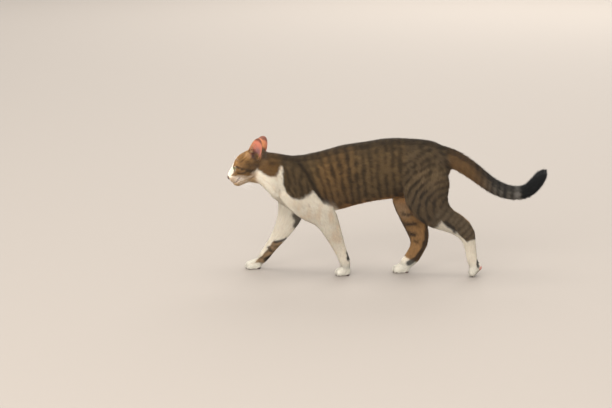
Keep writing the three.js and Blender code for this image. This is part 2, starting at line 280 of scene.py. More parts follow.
# %% [markdown]
# ## Smoothing without shrinking
# Plain smoothing moves each point to the mean of its neighbours, which also shrinks thin parts.
# Stepping forward and then a little further back, again and again, keeps the volume. NumPy does
# it for all points at once.

# %% Smoothing helpers


def places(mesh):
    """The mesh's points as an array."""
    flat = np.empty(len(mesh.vertices) * 3, np.float32)
    mesh.vertices.foreach_get("co", flat)
    return flat.reshape(-1, 3).astype(float)


def normals(mesh):
    flat = np.empty(len(mesh.vertices) * 3, np.float32)
    mesh.vertex_normals.foreach_get("vector", flat)
    return flat.reshape(-1, 3).astype(float)


def set_places(mesh, points):
    mesh.vertices.foreach_set("co", points.astype(np.float32).ravel())
    mesh.update()


def edge_ends(mesh):
    flat = np.empty(len(mesh.edges) * 2, np.int32)
    mesh.edges.foreach_get("vertices", flat)
    return flat.reshape(-1, 2)


def neighbour_mean(values, edges):
    """For each point, the mean of what its neighbours along the edges have."""
    count = len(values)
    ends = np.concatenate([edges[:, 0], edges[:, 1]])
    others = np.concatenate([edges[:, 1], edges[:, 0]])
    near = np.bincount(ends, minlength=count).clip(1)
    columns = [np.bincount(ends, values[others, i], count) / near for i in range(values.shape[1])]
    return np.stack(columns, 1)


def spread(values, edges, rounds):
    """Values blurred over the surface."""
    for _ in range(rounds):
        values = (values + neighbour_mean(values, edges)) / 2
    return values


def relax(points, edges, rounds, strength=1.0):
    """Points smoothed in pairs of steps, forward and back, that keep the volume."""
    for _ in range(rounds):
        for step in (0.5, -0.52):
            points = points + step * strength * (neighbour_mean(points, edges) - points)
    return points


SMOOTH_ROUNDS = 12
FOOT_HIGH = 22 * MM  # the feet have finer shapes, so they are smoothed half as much
edges = edge_ends(melted)
points = places(melted)
firm = np.where(points[:, 2] < FOOT_HIGH, 0.5, 1.0)[:, None]
set_places(melted, relax(points, edges, SMOOTH_ROUNDS, firm))
print("smoothed", len(points), "points")

# %% [markdown]
# ## From the tips of the coat down to the skin
# The solids reach out to the tips of the fur, so the skin must lie deeper, by the coat's depth.
# Each point of the skin finds how close it is to every line of the coat. Near lines count far
# more than distant ones. This gives it a depth, a length for its tufts and a direction.

# %% Borrow from the lines


def along_lines(points):
    """For each point: its coat depth and tuft length, its direction, and its gap to each line."""
    total = np.zeros(len(points))
    direction = np.zeros((len(points), 3))
    numbers = np.zeros((len(points), 2))
    gaps = {}
    for name, line in LIE.items():
        line = np.array(line, float)
        nearest = np.full(len(points), 1e9)
        for a, b in zip(line[:-1], line[1:]):
            start, span = a[:3] * MM, (b - a)[:3] * MM
            t = np.clip((points - start) @ span / (span @ span), 0, 1)
            gap = np.linalg.norm(points - start - t[:, None] * span, axis=1)
            weight = 1 / (gap / MM + 2) ** 5
            total += weight
            direction += weight[:, None] * unit(span[None])
            numbers += weight[:, None] * (a[3:] + t[:, None] * (b - a)[3:])
            nearest = np.minimum(nearest, gap)
        gaps[name] = nearest
    return numbers / total[:, None], unit(direction), gaps


HEAD_COAT, MUZZLE_COAT, LID_COAT = 3.0, 0.9, 0.8  # depths of the coat in millimetres


def head_share(points):
    """One on the head, fading to zero along the neck."""
    place = in_head(points)
    above_paws = smoothstep(-80, -60, place[:, 2])
    return above_paws * (1 - smoothstep(14, 44, place[:, 0] - 0.25 * (place[:, 2] + 10)))


points = places(melted)
outward = normals(melted)
numbers = along_lines(points)[0]
on_head = head_share(points)
spot = in_head(points)
muzzle = 1 - smoothstep(-46, -8, spot[:, 0])
head_depth = HEAD_COAT - (HEAD_COAT - MUZZLE_COAT) * muzzle
for side in (LEFT, RIGHT):
    eye_gap = np.linalg.norm(spot - EYE_AT * (1, side, 1), axis=1)
    head_depth = head_depth + (LID_COAT - head_depth) * (1 - smoothstep(11, 20, eye_gap))
depth = numbers[:, 0] * (1 - on_head) + head_depth * on_head
depth = spread(depth[:, None], edges, 8)
points = relax(points - outward * depth * MM, edges, 2)
set_places(melted, points)
print("coat from", depth.min().round(1), "to", depth.max().round(1), "mm deep")

# %% [markdown]
# ## More points for the face and the paws
# The lids, the lips and the toes have shapes smaller than the voxels. Cutting only the faces of
# the head and the paws in four gives them a grid of about one millimetre, and the rest stays
# light.

# %% Refine the head and the paws
PAW_TOP = 26 * MM
FACE_BACK = 14  # in the head's frame, millimetres behind its centre
FACE_LOW = -45  # and below it


def in_face(places_in_head):
    return (places_in_head[:, 0] < FACE_BACK) & (places_in_head[:, 2] > FACE_LOW)


skin_shape = bmesh.new()
skin_shape.from_mesh(melted)
skin_shape.verts.ensure_lookup_table()
points = places(melted)
chosen = (in_face(in_head(points)) & (points[:, 2] > PAW_TOP)) | (points[:, 2] < PAW_TOP)
face_edges = [edge for edge in skin_shape.edges if all(chosen[vert.index] for vert in edge.verts)]
bmesh.ops.subdivide_edges(skin_shape, edges=face_edges, cuts=1, use_grid_fill=True)
skin_shape.to_mesh(melted)
skin_shape.free()
edges = edge_ends(melted)
points = places(melted)
points = relax(points, edges, 5, in_face(in_head(points))[:, None].astype(float))
set_places(melted, points)
print("skin now has", len(melted.polygons), "faces")

# %% [markdown]
# ## The eye's opening
# An eyeball is a globe, and the lids slide over it. So we measure the skin near an eye in
# millimetres along the globe: across to the outer corner, up, and out from the globe's centre.
# The opening is an almond in those measures.

# %% Measures round an eye
GAZE = np.array((-0.885, 0.46, 0.03))
GAZE = GAZE / np.linalg.norm(GAZE)
CORNER = np.array((0.45, 0.8, 0.26))  # towards the outer corner, made square to the gaze
CORNER = CORNER - CORNER @ GAZE * GAZE
CORNER = CORNER / np.linalg.norm(CORNER)
UPWARD = np.cross(CORNER, GAZE) * np.sign(np.cross(CORNER, GAZE)[2])
LID_WIDE, LID_UP, LID_DOWN = 6.8, 3.6, 3.4  # half sizes of the opening
ALMOND = 1.7  # two is an ellipse, and less draws the corners to points


def eye_chart(place, side):
    """Across, up and out, in millimetres on the globe, of places in the head's frame."""
    flip = np.array((1, side, 1))
    offset = place - EYE_AT * flip
    out = np.linalg.norm(offset, axis=1)
    angle = np.arccos(np.clip(offset @ (GAZE * flip) / out, -1, 1))
    across, up = offset @ (CORNER * flip), offset @ (UPWARD * flip)
    flat = np.maximum(np.hypot(across, up), 1e-6)
    return angle * EYE_RADIUS * across / flat, angle * EYE_RADIUS * up / flat, out


def off_chart(across, up, out, side):
    """The place in the head's frame that eye_chart reads so."""
    flip = np.array((1, side, 1))
    flat = np.maximum(np.hypot(across, up), 1e-6)
    angle = flat / EYE_RADIUS
    sideways = (across / flat)[:, None] * CORNER + (up / flat)[:, None] * UPWARD
    ray = np.cos(angle)[:, None] * GAZE + np.sin(angle)[:, None] * sideways
    return (EYE_AT + ray * np.asarray(out).reshape(-1, 1)) * flip


def lid_gap(across, up):
    """Below one in the eye's opening, one on its edge, and more outside."""
    high = np.where(up > 0, LID_UP, LID_DOWN)
    return ((np.abs(across) / LID_WIDE) ** ALMOND + (np.abs(up) / high) ** ALMOND) ** (1 / ALMOND)


def past_lid(across, up):
    """Millimetres beyond the edge of the eye's opening, and zero inside it."""
    gap = np.maximum(lid_gap(across, up), 1e-6)
    return np.maximum(np.hypot(across, up) * (1 - 1 / gap), 0)


print("each eye opens", 2 * LID_WIDE, "by", LID_UP + LID_DOWN, "mm")

# %% [markdown]
# ## Sockets
# Skin in front of the opening goes behind the globe, and skin around it is lifted to the lids'
# height. Further out it keeps its own shape, and a soft step joins the two.

# %% Press the sockets in
LID_LIFT = 0.7  # how far the skin round the lids stands off the globe
SOCKET_SINK = 1.6  # and how far it lies inside the globe in the opening
SOCKET_REACH = 9  # how far beyond the opening's edge the skin is changed at all
SOCKET_NEAR = 19  # and how far from the globe's centre

points = in_head(places(melted))
for side in (LEFT, RIGHT):
    across, up, out = eye_chart(points, side)
    beyond = past_lid(across, up)
    socket = EYE_RADIUS - SOCKET_SINK + (LID_LIFT + SOCKET_SINK) * smoothstep(0.3, 1.9, beyond)
    own = np.maximum(out, EYE_RADIUS + LID_LIFT)
    settled = socket + (own - socket) * smoothstep(1.6, 5.5, beyond)
    near = (out < SOCKET_NEAR) & (beyond < SOCKET_REACH)
    fade = smoothstep(SOCKET_REACH - 2.5, SOCKET_REACH, beyond)
    settled = np.where(near, settled + (out - settled) * fade, out)
    flip = np.array((1, side, 1))
    centre = EYE_AT * flip
    points = centre + (points - centre) * (settled / out)[:, None]
set_places(melted, from_head(points))
print("sockets for eyes of", 2 * EYE_RADIUS, "mm")

# %% [markdown]
# ## Toes
# A cat stands on four toes of each foot. The middle two reach furthest forward. From above they
# read as three creases in the front of the paw, so we measure the skin in each paw's own frame
# and press the creases in.

# %% Press in the creases between the toes
# How dark a paw's pads are is painted shade, strong on the standing paws.
PAWS = {  # where each paw is, its length, its tilt in degrees, and how dark its pads are
    "foreleg_left": ((-86, -23, -1), 0.92, 0, 0.96),
    "foreleg_right": ((-269, 35, -1), 1.0, 0, 0.96),
    "hindleg_left": ((182.5, -20, 10.5), 0.95, 52, 0.05),
    "hindleg_right": ((30, 12, -1), 1.05, 0, 0.9),
}
CREASE_DEEP = 1.3
CREASE_WIDE = 1.3
SOLE_GAP = 0.3  # millimetres between the skin and the floor


def paw_matrix(at, length, tilt):
    """From a paw's own frame to the cat's: the toes point to -X and the sole is flat."""
    turn = Matrix.Rotation(math.radians(-tilt), 4, "Y")
    return Matrix.Translation(Vector(at) * MM) @ turn @ Matrix.Diagonal((length, 0.95, 0.95, 1))


def toe_crease(points):
    """One in the creases between the toes, and zero elsewhere."""
    best = np.zeros(len(points))
    for at, length, tilt, _ in PAWS.values():
        back = np.array(paw_matrix(at, length, tilt).inverted())
        x, y, z = ((points @ back[:3, :3].T + back[:3, 3]) / MM).T
        gap = np.minimum(np.abs(y), np.abs(np.abs(y) - 7.0 + 0.12 * (x + 12)))
        here = (1 - smoothstep(-8, 0, x)) * smoothstep(-24, -20, x) * (1 - smoothstep(9, 16, z))
        here = here * smoothstep(-4, -1, z) * (np.abs(y) < 12)
        best = np.maximum(best, here * np.exp(-((gap / CREASE_WIDE) ** 2)))
    return best


points = places(melted)
points = points - normals(melted) * (CREASE_DEEP * MM * toe_crease(points))[:, None]
points[:, 2] = np.maximum(points[:, 2], SOLE_GAP * MM)
set_places(melted, points)
print("toes on", len(PAWS), "paws")

# %% [markdown]
# ## Grids bent into shapes
# Many small pieces of an animal are a sheet rolled up: a lid, an ear, a whisker. One helper
# makes a flat grid, sends each of its points through a function, and merges what meets, so
# that seams close and ends come to a point.

# %% Bent grids


def bent_grid(columns, rows, bend):
    """A grid whose points (u, v), each from 0 to 1, go to bend(u, v), in millimetres."""
    shape = bmesh.new()
    bmesh.ops.create_grid(shape, x_segments=columns, y_segments=rows, size=0.5)
    flat = np.array([vert.co for vert in shape.verts]) + 0.5
    for vert, place in zip(shape.verts, bend(flat[:, 0], flat[:, 1])):
        vert.co = place
    bmesh.ops.remove_doubles(shape, verts=shape.verts, dist=0.02)
    bmesh.ops.dissolve_degenerate(shape, edges=shape.edges, dist=0.005)
    bmesh.ops.recalc_face_normals(shape, faces=shape.faces)
    return shape


def head_mesh(shape, name):
    """A finished mesh in metres from a shape in the head's millimetres."""
    bmesh.ops.scale(shape, vec=(MM, MM, MM), verts=shape.verts)
    bmesh.ops.transform(shape, matrix=head_frame, verts=shape.verts)
    return mesh_of(shape, name)


# The lid's section: steps outward from the opening's edge, and heights over the globe.
LID_STEPS = [-0.6, -0.15, 0.0, 0.2, 0.5, 1.0, 1.6, 2.3, 3.0, 3.6, 2.0, -0.6]
LID_HEIGHTS = [-0.8, 0.1, 0.35, 0.55, 0.7, 0.8, 0.85, 0.8, 0.45, -0.5, -1.2, -0.8]


def eyelids(side):
    """A rolled ring round the eye's opening, closed beneath the skin."""

    def bend(u, v):
        turn = 2 * math.pi * u
        corner = 2 / ALMOND
        across = LID_WIDE * np.sign(np.cos(turn)) * np.abs(np.cos(turn)) ** corner
        high = np.where(np.sin(turn) > 0, LID_UP, LID_DOWN)
        up = high * np.sign(np.sin(turn)) * np.abs(np.sin(turn)) ** corner
        ring = np.linspace(0, 1, len(LID_STEPS))
        out = np.interp(v, ring, LID_STEPS)
        lift = np.interp(v, ring, LID_HEIGHTS) * np.where(np.sin(turn) > 0, 1.15, 1)
        flat = np.maximum(np.hypot(across, up), 1e-6)
        grown = 1 + out / flat
        return off_chart(across * grown, up * grown, EYE_RADIUS + lift, side)

    return head_mesh(bent_grid(columns=72, rows=len(LID_STEPS) - 1, bend=bend), "eyelids")


lids = [eyelids(side) for side in (LEFT, RIGHT)]
print("lids of", [len(lid.vertices) for lid in lids], "points")

# %% [markdown]
# ## Ears
# A cat's ear is a cupped leaf of thin cartilage, open to the side and front. Each section
# across it is a crescent. The rim is thin, and the foot is sunk deep in the head.

# %% Ear leaves
EAR_HALF_WIDTH = 17.0
EAR_FOOT_AHEAD = 1.3
EAR_CUP = 9.6
EAR_WALL = 2.0


def ear_frame(side):
    """The ear's root, tip, and its directions along, towards its opening, and across."""
    flip = np.array((1, side, 1))
    root, tip, facing = EAR_ROOT * flip, EAR_TIP * flip, EAR_FACING * flip
    along = (tip - root) / np.linalg.norm(tip - root)
    facing = facing - facing @ along * along
    facing = facing / np.linalg.norm(facing)
    return root, tip, along, facing, np.cross(facing, along)


def ear_taper(v):
    """The ear's width at a height v from 0 to 1, as a share of its full width."""
    return np.sqrt(1 - np.clip((v - 0.3) / 0.69, 0, 1) ** 1.7)


def ear_leaf(side):
    root, tip, _, facing, across = ear_frame(side)

    def bend(u, v):
        v = -0.05 + 1.04 * v
        back = u < 0.5
        s = np.where(back, 4 * u - 1, 3 - 4 * u)
        taper = ear_taper(v) * smoothstep(-0.05, -0.04, v)
        wall = EAR_WALL * (1 - 0.5 * v) * taper * np.sqrt(np.clip(1 - s**4, 0, 1))
        sunk = EAR_CUP * taper * (1 - 0.45 * v) * (1 - s**2) + 0.35
        ridge = 0.5 * np.exp(-(((s + 0.35) / 0.13) ** 2)) + 0.4 * np.exp(-(((s - 0.25) / 0.12) ** 2))
        sunk = sunk - np.where(back, -wall, ridge * taper * (1 - smoothstep(0.3, 1, v)))
        centre = root + (tip - root) * v[:, None] + np.outer(1 - v, (-EAR_FOOT_AHEAD, 0, 0))
        return centre + across * (EAR_HALF_WIDTH * taper * s)[:, None] - facing * sunk[:, None]

    return head_mesh(bent_grid(columns=56, rows=40, bend=bend), "ear")


ears = [ear_leaf(side) for side in (LEFT, RIGHT)]
print("ears of", [len(ear.vertices) for ear in ears], "points")

# %% [markdown]
# ## The bowl of the ear
# The leaf does not simply stand on the head: its opening runs on down into a bowl in front of
# its foot. We measure the head's skin along, across and before the ear and press the bowl in.

# %% Hollow the head before the ears
BOWL_WIDE, BOWL_LONG, BOWL_DEEP = 12.5, 9.0, 8.0
BOWL_AHEAD = -2.0  # where its middle lies before the ear's foot


def bowl_share(spot, side):
    """One in the middle of the ear's bowl and zero from its edge outward."""
    root, _, along, facing, across = ear_frame(side)
    offset = spot - root
    reach = np.hypot(offset @ across / BOWL_WIDE, (offset @ facing - BOWL_AHEAD) / BOWL_LONG)
    inside = 1 - smoothstep(0.55, 1.0, reach)
    return inside * (offset @ along > -16) * (spot[:, 1] * side > 0)


points = in_head(places(melted))
for side in (LEFT, RIGHT):
    along = ear_frame(side)[2]
    points = points - along * (BOWL_DEEP * bowl_share(points, side))[:, None]
set_places(melted, from_head(points))
print("bowls", BOWL_DEEP, "mm deep")

# %% [markdown]
# ## The mouth and the rest of the face
# The mouth is a fine groove: down from the nose, then back along each whisker pad. We pull a
# line onto the skin, find each point's distance to it, and press the skin in along the line.
# Then the lids and the ears join the skin, and the skin is one mesh.

# %% Carve the mouth
MOUTH = [(-57, 0, -17.5), (-55.5, 0, -20.5), (-54, 0, -23), (-52, 5, -24.6), (-47, 10, -24.8),
         (-40, 13.5, -23.2), (-34, 16, -20.6)]
MOUTH_DEEP = 1.5
MOUTH_WIDE = 1.7
LIP_PUFF, LIP_AT, LIP_WIDE = 0.5, 3.2, 1.2  # the skin swells a little beside the groove


def polyline(corners, step):
    """Points every `step` along a line through the corners."""
    corners = np.array(corners, float)
    run = np.concatenate([[0], np.cumsum(np.linalg.norm(np.diff(corners, axis=0), axis=1))])
    at = np.linspace(0, run[-1], max(int(run[-1] / step) + 1, 2))
    return np.stack([np.interp(at, run, corners[:, i]) for i in range(corners.shape[1])], 1)


def tree_of(mesh):
    mesh.calc_loop_triangles()
    corners = np.empty(len(mesh.loop_triangles) * 3, np.int32)
    mesh.loop_triangles.foreach_get("vertices", corners)
    points = places(mesh)
    return BVHTree.FromPolygons(points.tolist(), corners.reshape(-1, 3).tolist())


def on_skin(tree, points):
    """The nearest places on a surface and the surface's direction there."""
    found = [tree.find_nearest(point)[:2] for point in points.tolist()]
    return np.array([place for place, _ in found]), np.array([normal for _, normal in found])


def gap_to(points, targets):
    """Each point's distance to the nearest target."""
    best = np.full(len(points), 1e9)
    for target in targets:
        best = np.minimum(best, np.linalg.norm(points - target, axis=1))
    return best


face_tree = tree_of(melted)
mouth_right = from_head(polyline(MOUTH, 0.7))
mouth_left = from_head(polyline(MOUTH, 0.7) * (1, LEFT, 1))
mouth_line = on_skin(face_tree, np.concatenate([mouth_left, mouth_right]))[0]
points = places(melted)
gap = gap_to(points, mouth_line) / MM
pressed = MOUTH_DEEP * (1 - smoothstep(0.2, MOUTH_WIDE, gap))
puffed = LIP_PUFF * np.exp(-(((gap - LIP_AT) / LIP_WIDE) ** 2))
set_places(melted, points + normals(melted) * ((puffed - pressed) * MM)[:, None])

skin_shape = bmesh.new()
for mesh in (melted, *lids, *ears):
    skin_shape.from_mesh(mesh)
skin_shape.to_mesh(melted)
skin_shape.free()
print("skin of", len(melted.polygons), "faces with lids and ears")

# %% [markdown]
# ## Markings: colours, noise and bands
# The cat is a brown mackerel tabby with white: narrow dark bands run down its sides like the
# bones of a fish. Nature never rules straight lines, so every band and edge is shifted by a
# smooth noise. We make that noise ourselves: random values on a lattice, blended between.

# %% Colour and noise helpers


def paint_color(red, green, blue):
    """A display colour from 0 to 255 as the linear colour that a shader needs."""
    value = np.array((red, green, blue)) / 255
    return np.where(value > 0.04045, ((value + 0.055) / 1.055) ** 2.4, value / 12.92)


LIGHT = paint_color(119, 95, 62)
DARK = paint_color(40, 31, 20)
SPINE = paint_color(56, 45, 31)
TAN = paint_color(138, 102, 60)
BUFF = paint_color(214, 168, 116)
WHITE = paint_color(243, 231, 212)
GREY = paint_color(108, 101, 90)
PALE_GREY = paint_color(140, 134, 126)
BLACK = paint_color(22, 20, 20)
ORANGE = paint_color(158, 119, 74)
MUZZLE_SHADE = paint_color(190, 166, 140)
CHIN_SHADE = paint_color(184, 152, 112)
PAW_SHADE_WHITE = paint_color(206, 200, 186)
LID = paint_color(38, 27, 20)
LIP = paint_color(92, 56, 52)
EAR_PINK = paint_color(190, 115, 92)
EAR_CUP_SHADE = paint_color(118, 88, 88)
EAR_BACK_GLOW = paint_color(192, 124, 78)


def mix(under, over, share):
    return under + (over - under) * np.asarray(share).reshape(-1, 1)


def noise(place, size, seed=0):
    """Smooth values from -1 to 1 that change over `size` millimetres, which may be three sizes."""
    scaled = place / np.asarray(size, float) + 31.7 * seed
    cell = np.floor(scaled)
    part = scaled - cell
    part = part * part * (3 - 2 * part)
    total = np.zeros(len(place))
    for corner in np.ndindex(2, 2, 2):
        at = cell + corner
        value = np.sin(at @ (127.1, 311.7, 74.7) + seed) * 43758.5453
        value = 2 * (value - np.floor(value)) - 1
        total += value * np.prod(np.where(np.array(corner) == 1, part, 1 - part), axis=1)
    return total


def near_line(across, up, line, half_width):
    """One near a line in a plane, falling to zero around its edges."""
    flat = np.stack([across, up], 1)
    gap = gap_to(flat, polyline(line, max(half_width / 2, 1.0)))
    return 1 - smoothstep(0.55 * half_width, 1.45 * half_width, gap)


print("light and dark bands", LIGHT.round(3), DARK.round(3))

# %% [markdown]
# ## Markings of the body
# The bands stand almost upright on the flank, lean forward behind the shoulder, and bend round
# the thigh like ripples round a stone, fading towards the hip.

# %% Bands of the side
BAND = 14.8  # millimetres from one band to the next
THIGH_CENTRE = (123, 143)
THIGH_BAND = 12.5
THIGH_FLAT = 0.85  # the arcs on the thigh are wider than high
SHOULDER_BAND = [(-176, 228), (-160, 210), (-149, 193), (-138, 172), (-131, 157), (-116, 146)]


def bands(count, sharp, low=-0.1):
    """Dark bands from a count of them along the coat."""
    return smoothstep(low, low + sharp, np.cos(2 * math.pi * count))


def flank_colors(x, z, place):
    """Bands of the side, seen from the side: upright on the flank and round on the thigh."""
    slant = 0.1 + 0.38 * (1 - smoothstep(-150, -55, x))
    warp = 3.6 * noise(place, 42, 1) + 2.2 * noise(place, 15, 2)
    broken = 0.75 * noise(place, (7, 10, 12), 3) + 0.4 * noise(place, 4.5, 16)
    upright = 0.8 * np.cos(2 * math.pi * (x + slant * (z - 200) + warp) / BAND) + 1.15 * broken
    ring = np.hypot((x - THIGH_CENTRE[0]) * THIGH_FLAT, z - THIGH_CENTRE[1])
    round_thigh = np.cos(2 * math.pi * (ring + warp) / THIGH_BAND)
    hip = smoothstep(180, 225, z)  # the bands fade and break up towards the hip
    round_thigh = round_thigh * (0.8 + 0.4 * noise(place, 22, 29)) * (1 - 0.6 * hip)
    round_thigh = round_thigh + (0.9 + 0.3 * hip) * broken
    on_thigh = smoothstep(18, 44, x - 0.12 * (z - 190))
    wave = upright * (1 - on_thigh) + round_thigh * on_thigh
    dark = smoothstep(-0.25, 0.65, wave) * (0.82 + 0.18 * noise(place, 30, 4))
    shoulder = (1 - smoothstep(-152, -138, x + 0.5 * (z - 190))) * smoothstep(-212, -200, x)
    streaks = smoothstep(-0.3, 0.8, np.cos(2 * math.pi * (x + 0.25 * z + 2.5 * warp) / 11) + broken)
    dark = dark * (1 - shoulder) + (0.35 + 0.5 * streaks) * shoulder
    dark = np.maximum(dark, near_line(x, z, SHOULDER_BAND, 4.5))
    ground = mix(LIGHT, TAN, 0.5 * smoothstep(-150, -120, x) * (1 - smoothstep(-90, -40, x)))
    ground = mix(ground, GREY, 0.25 * on_thigh + 0.1 * shoulder)
    low_thigh = on_thigh * (1 - smoothstep(150, 200, z))
    stripe = mix(np.broadcast_to(DARK, place.shape), BLACK, 0.8 * low_thigh)
    return mix(ground, stripe, np.clip(dark, 0, 1) * (0.86 + 0.06 * on_thigh))


print("a band every", BAND, "mm, and every", THIGH_BAND, "mm on the thigh")

# %% [markdown]
# ## Back, belly and the white
# The bands melt together along the spine into one dark line, and the underside is tan. The
# throat, the chest and the left foreleg are white up to a wavy border. Each border is a list of
# points in the side view, and noise frays it.

# %% Body colours
WHITE_EDGE = np.array([
    (-300, 214), (-278, 208), (-266, 211), (-257, 216), (-248, 209), (-238, 203), (-226, 198), (-219, 199),
    (-215, 203), (-212, 211), (-209, 218), (-206, 219), (-204.5, 204), (-203, 182), (-198, 170),
    (-190, 161), (-174, 155), (-164, 157), (-156, 161), (-150, 167), (-145, 173), (-138, 165),
    (-134, 157), (-124, 147), (-114, 141), (-94, 136),
])
BELLY_EDGE = np.array([(-120, 120), (-78, 130), (-35, 138), (8, 144), (50, 153), (85, 166)])


def spine_share(place, outward):
    """One along the dark line of the back."""
    return smoothstep(0.3, 0.95, outward[:, 2] + 0.16 * noise(place, 9, 5))


def body_colors(place, outward):
    x, y, z = place.T
    color = flank_colors(x, z, place)
    back = spine_share(place, outward) * smoothstep(-262, -240, x)
    color = mix(color, SPINE, 0.85 * back)
    neck = (1 - smoothstep(-222, -204, x)) * (1 - 0.7 * back)
    neck_streaks = smoothstep(-0.2, 0.9, noise(place, (16, 12, 9), 6) + 0.5 * noise(place, 6, 17))
    color = mix(color, mix(TAN * 0.8, DARK, 0.7 * neck_streaks), neck)
    edge = np.interp(x, BELLY_EDGE[:, 0], BELLY_EDGE[:, 1])
    edge = edge + 3 * noise(place, 14, 7) + 3 * noise(place, 5, 23)
    belly = 1 - smoothstep(-4, 7, z - edge)
    belly = np.maximum(belly, smoothstep(0.7, 0.97, -outward[:, 2] + 0.2 * noise(place, 7, 28)))
    belly *= 1 - smoothstep(20, 30, np.abs(y)) * smoothstep(-10, 20, x)
    belly *= smoothstep(-122, -108, x) * (1 - smoothstep(58, 80, x))
    color = mix(color, mix(TAN * (1.7, 1.45, 1.2), BUFF, 0.35), 0.9 * belly)
    edge = np.interp(x, WHITE_EDGE[:, 0], WHITE_EDGE[:, 1]) + 2.2 * noise(place, 9, 8)
    white = smoothstep(-1.6, 1.6, edge - z) * (1 - smoothstep(-108, -100, x))
    under = smoothstep(0.5, 0.8, -outward[:, 2]) * (1 - smoothstep(-122, -108, x))
    under = under * (1 - smoothstep(5, 10, z - edge))
    shaded = smoothstep(0.1, 0.8, noise(place, (5, 5, 17), 22)) * (1 - smoothstep(-175, -150, x))
    return mix(color, mix(WHITE, BUFF, 0.3 * shaded), np.maximum(white, under))


print(len(WHITE_EDGE), "corners in the white's edge")

# %% [markdown]
# ## Marks of the legs
# Besides its bands a leg has single dark marks, no two alike. Each is written as a short line in
# the side view, with a half width, a colour and a strength.

# %% Leg marks
LEG_MARKS = {  # lines in the side view, each with its half width, colour and strength
    "foreleg_left": [([(-77, 46), (-76, 33)], 3.2, BLACK, 0.95)],
    "foreleg_right": [
        ([(-184, 112), (-178, 100), (-184, 90)], 7, SPINE, 0.85),
        ([(-205, 63), (-216, 58), (-226, 56)], 2.2, BLACK, 0.9),
        ([(-240, 44), (-236, 38)], 2.6, DARK, 0.8),
        ([(-236, 25), (-245, 18)], 5, BLACK, 0.85),
    ],
    "hindleg_left": [
        ([(182, 33), (182, 21)], 2.6, BLACK, 0.9),
        ([(118, 112), (126, 104)], 4, BLACK, 0.75),
        ([(132, 101), (136, 92)], 3.4, BLACK, 0.75),
        ([(176, 100), (179, 84)], 3, DARK, 0.7),
    ],
    "hindleg_right": [
        ([(30, 99), (37, 96)], 3.4, BLACK, 0.9),
        ([(42, 97), (58, 99)], 3, BLACK, 0.9),
        ([(32, 118), (42, 116)], 2.8, BLACK, 0.8),
        ([(47, 118), (58, 120)], 2.8, BLACK, 0.8),
        ([(36, 84), (43, 81)], 3, BLACK, 0.9),
        ([(49, 77), (57, 76)], 3.2, BLACK, 0.9),
        ([(56, 63), (61, 62)], 2.4, DARK, 0.6),
        ([(80, 118), (81, 98), (80, 74), (74, 48), (60, 30), (44, 20)], 5, BLACK, 0.85),
    ],
}
print("leg marks:", {name: len(marks) for name, marks in LEG_MARKS.items()})

# %% [markdown]
# ## Colours of the forelegs
# The left foreleg is all white, a little creamy higher up. The right one is white too, but for
# a ringed khaki patch at its back. We tell a leg's back from its front by its line in the lie
# of the coat.

# %% Foreleg colours


def left_foreleg(place):
    creamy = smoothstep(0, 0.7, noise(place, (7, 7, 24), 27)) * smoothstep(24, 50, place[:, 2])
    return mix(np.broadcast_to(WHITE, place.shape), BUFF, 0.3 * creamy)


def right_foreleg(place, behind, ragged):
    x, _, z = place.T
    patch = smoothstep(9, 15, z + ragged) * (1 - smoothstep(55, 61, z + 0.3 * (x + 222) + ragged))
    patch = patch * smoothstep(-4.5, -0.5, behind + ragged)
    rings = bands((z + 2 * ragged) / 12, 0.8)
    khaki = mix(mix(mix(LIGHT, BUFF, 0.45), GREY, 0.3), DARK, 0.5 * rings)
    return mix(WHITE, khaki, patch)


print("forelegs: white", WHITE.round(2))

# %% [markdown]
# ## Colours of the hind legs
# The hind legs carry the thigh's bands down to white feet, and the left shank is white from a
# wavy edge downward. The inner side of a leg, turned to the cat's middle, is plainer and warmer
# than the outer one.

# %% Hind leg colours
SHANK_EDGE = np.array([
    (90, 96), (100, 104), (110, 113), (122, 103), (140, 92), (152, 80), (160, 71), (182, 78),
])


def left_hindleg(place, inner, ragged):
    x, _, z = place.T
    color = flank_colors(x, z, place)
    along = (x - z) / 1.414
    rings = bands((along + 3 * noise(place, 20, 10)) / 11.5, 0.8)
    shank = mix(mix(LIGHT, GREY, 0.4) * 1.15, DARK, 0.55 * rings)
    color = mix(color, shank, smoothstep(0, 22, x - 95 + 0.5 * (150 - z)))
    edge = np.interp(x, SHANK_EDGE[:, 0], SHANK_EDGE[:, 1]) + ragged
    color = mix(color, BUFF, inner * 0.8 * smoothstep(96, 110, z))
    return mix(color, WHITE, smoothstep(-1.5, 1.5, edge - z))


def right_hindleg(place, inner, behind, ragged):
    x, _, z = place.T
    outer = flank_colors(x - 62 + 0.35 * (z - 110), z, place)
    color = mix(outer, ORANGE, inner)
    pale = smoothstep(100, 118, z) * (1 - smoothstep(134, 150, z))
    pale = pale * (1 - smoothstep(-14, -2, behind))
    color = mix(color, mix(BUFF, GREY, 0.45), inner * pale)
    foot = smoothstep(-2, 2, 30 - 0.5 * (x - 40) - z + ragged)
    return mix(color, WHITE, foot)


print("shank's white edge of", len(SHANK_EDGE), "points")

# %% [markdown]
# ## Each leg with its marks
# A leg's own colours come first. The paw's white is then dimmed to a greyer white, as painted
# shade on the feet, and the single marks are laid on top.

# %% Leg colours
MARKS_HIGH = 125  # the right hind leg's marks end below this height


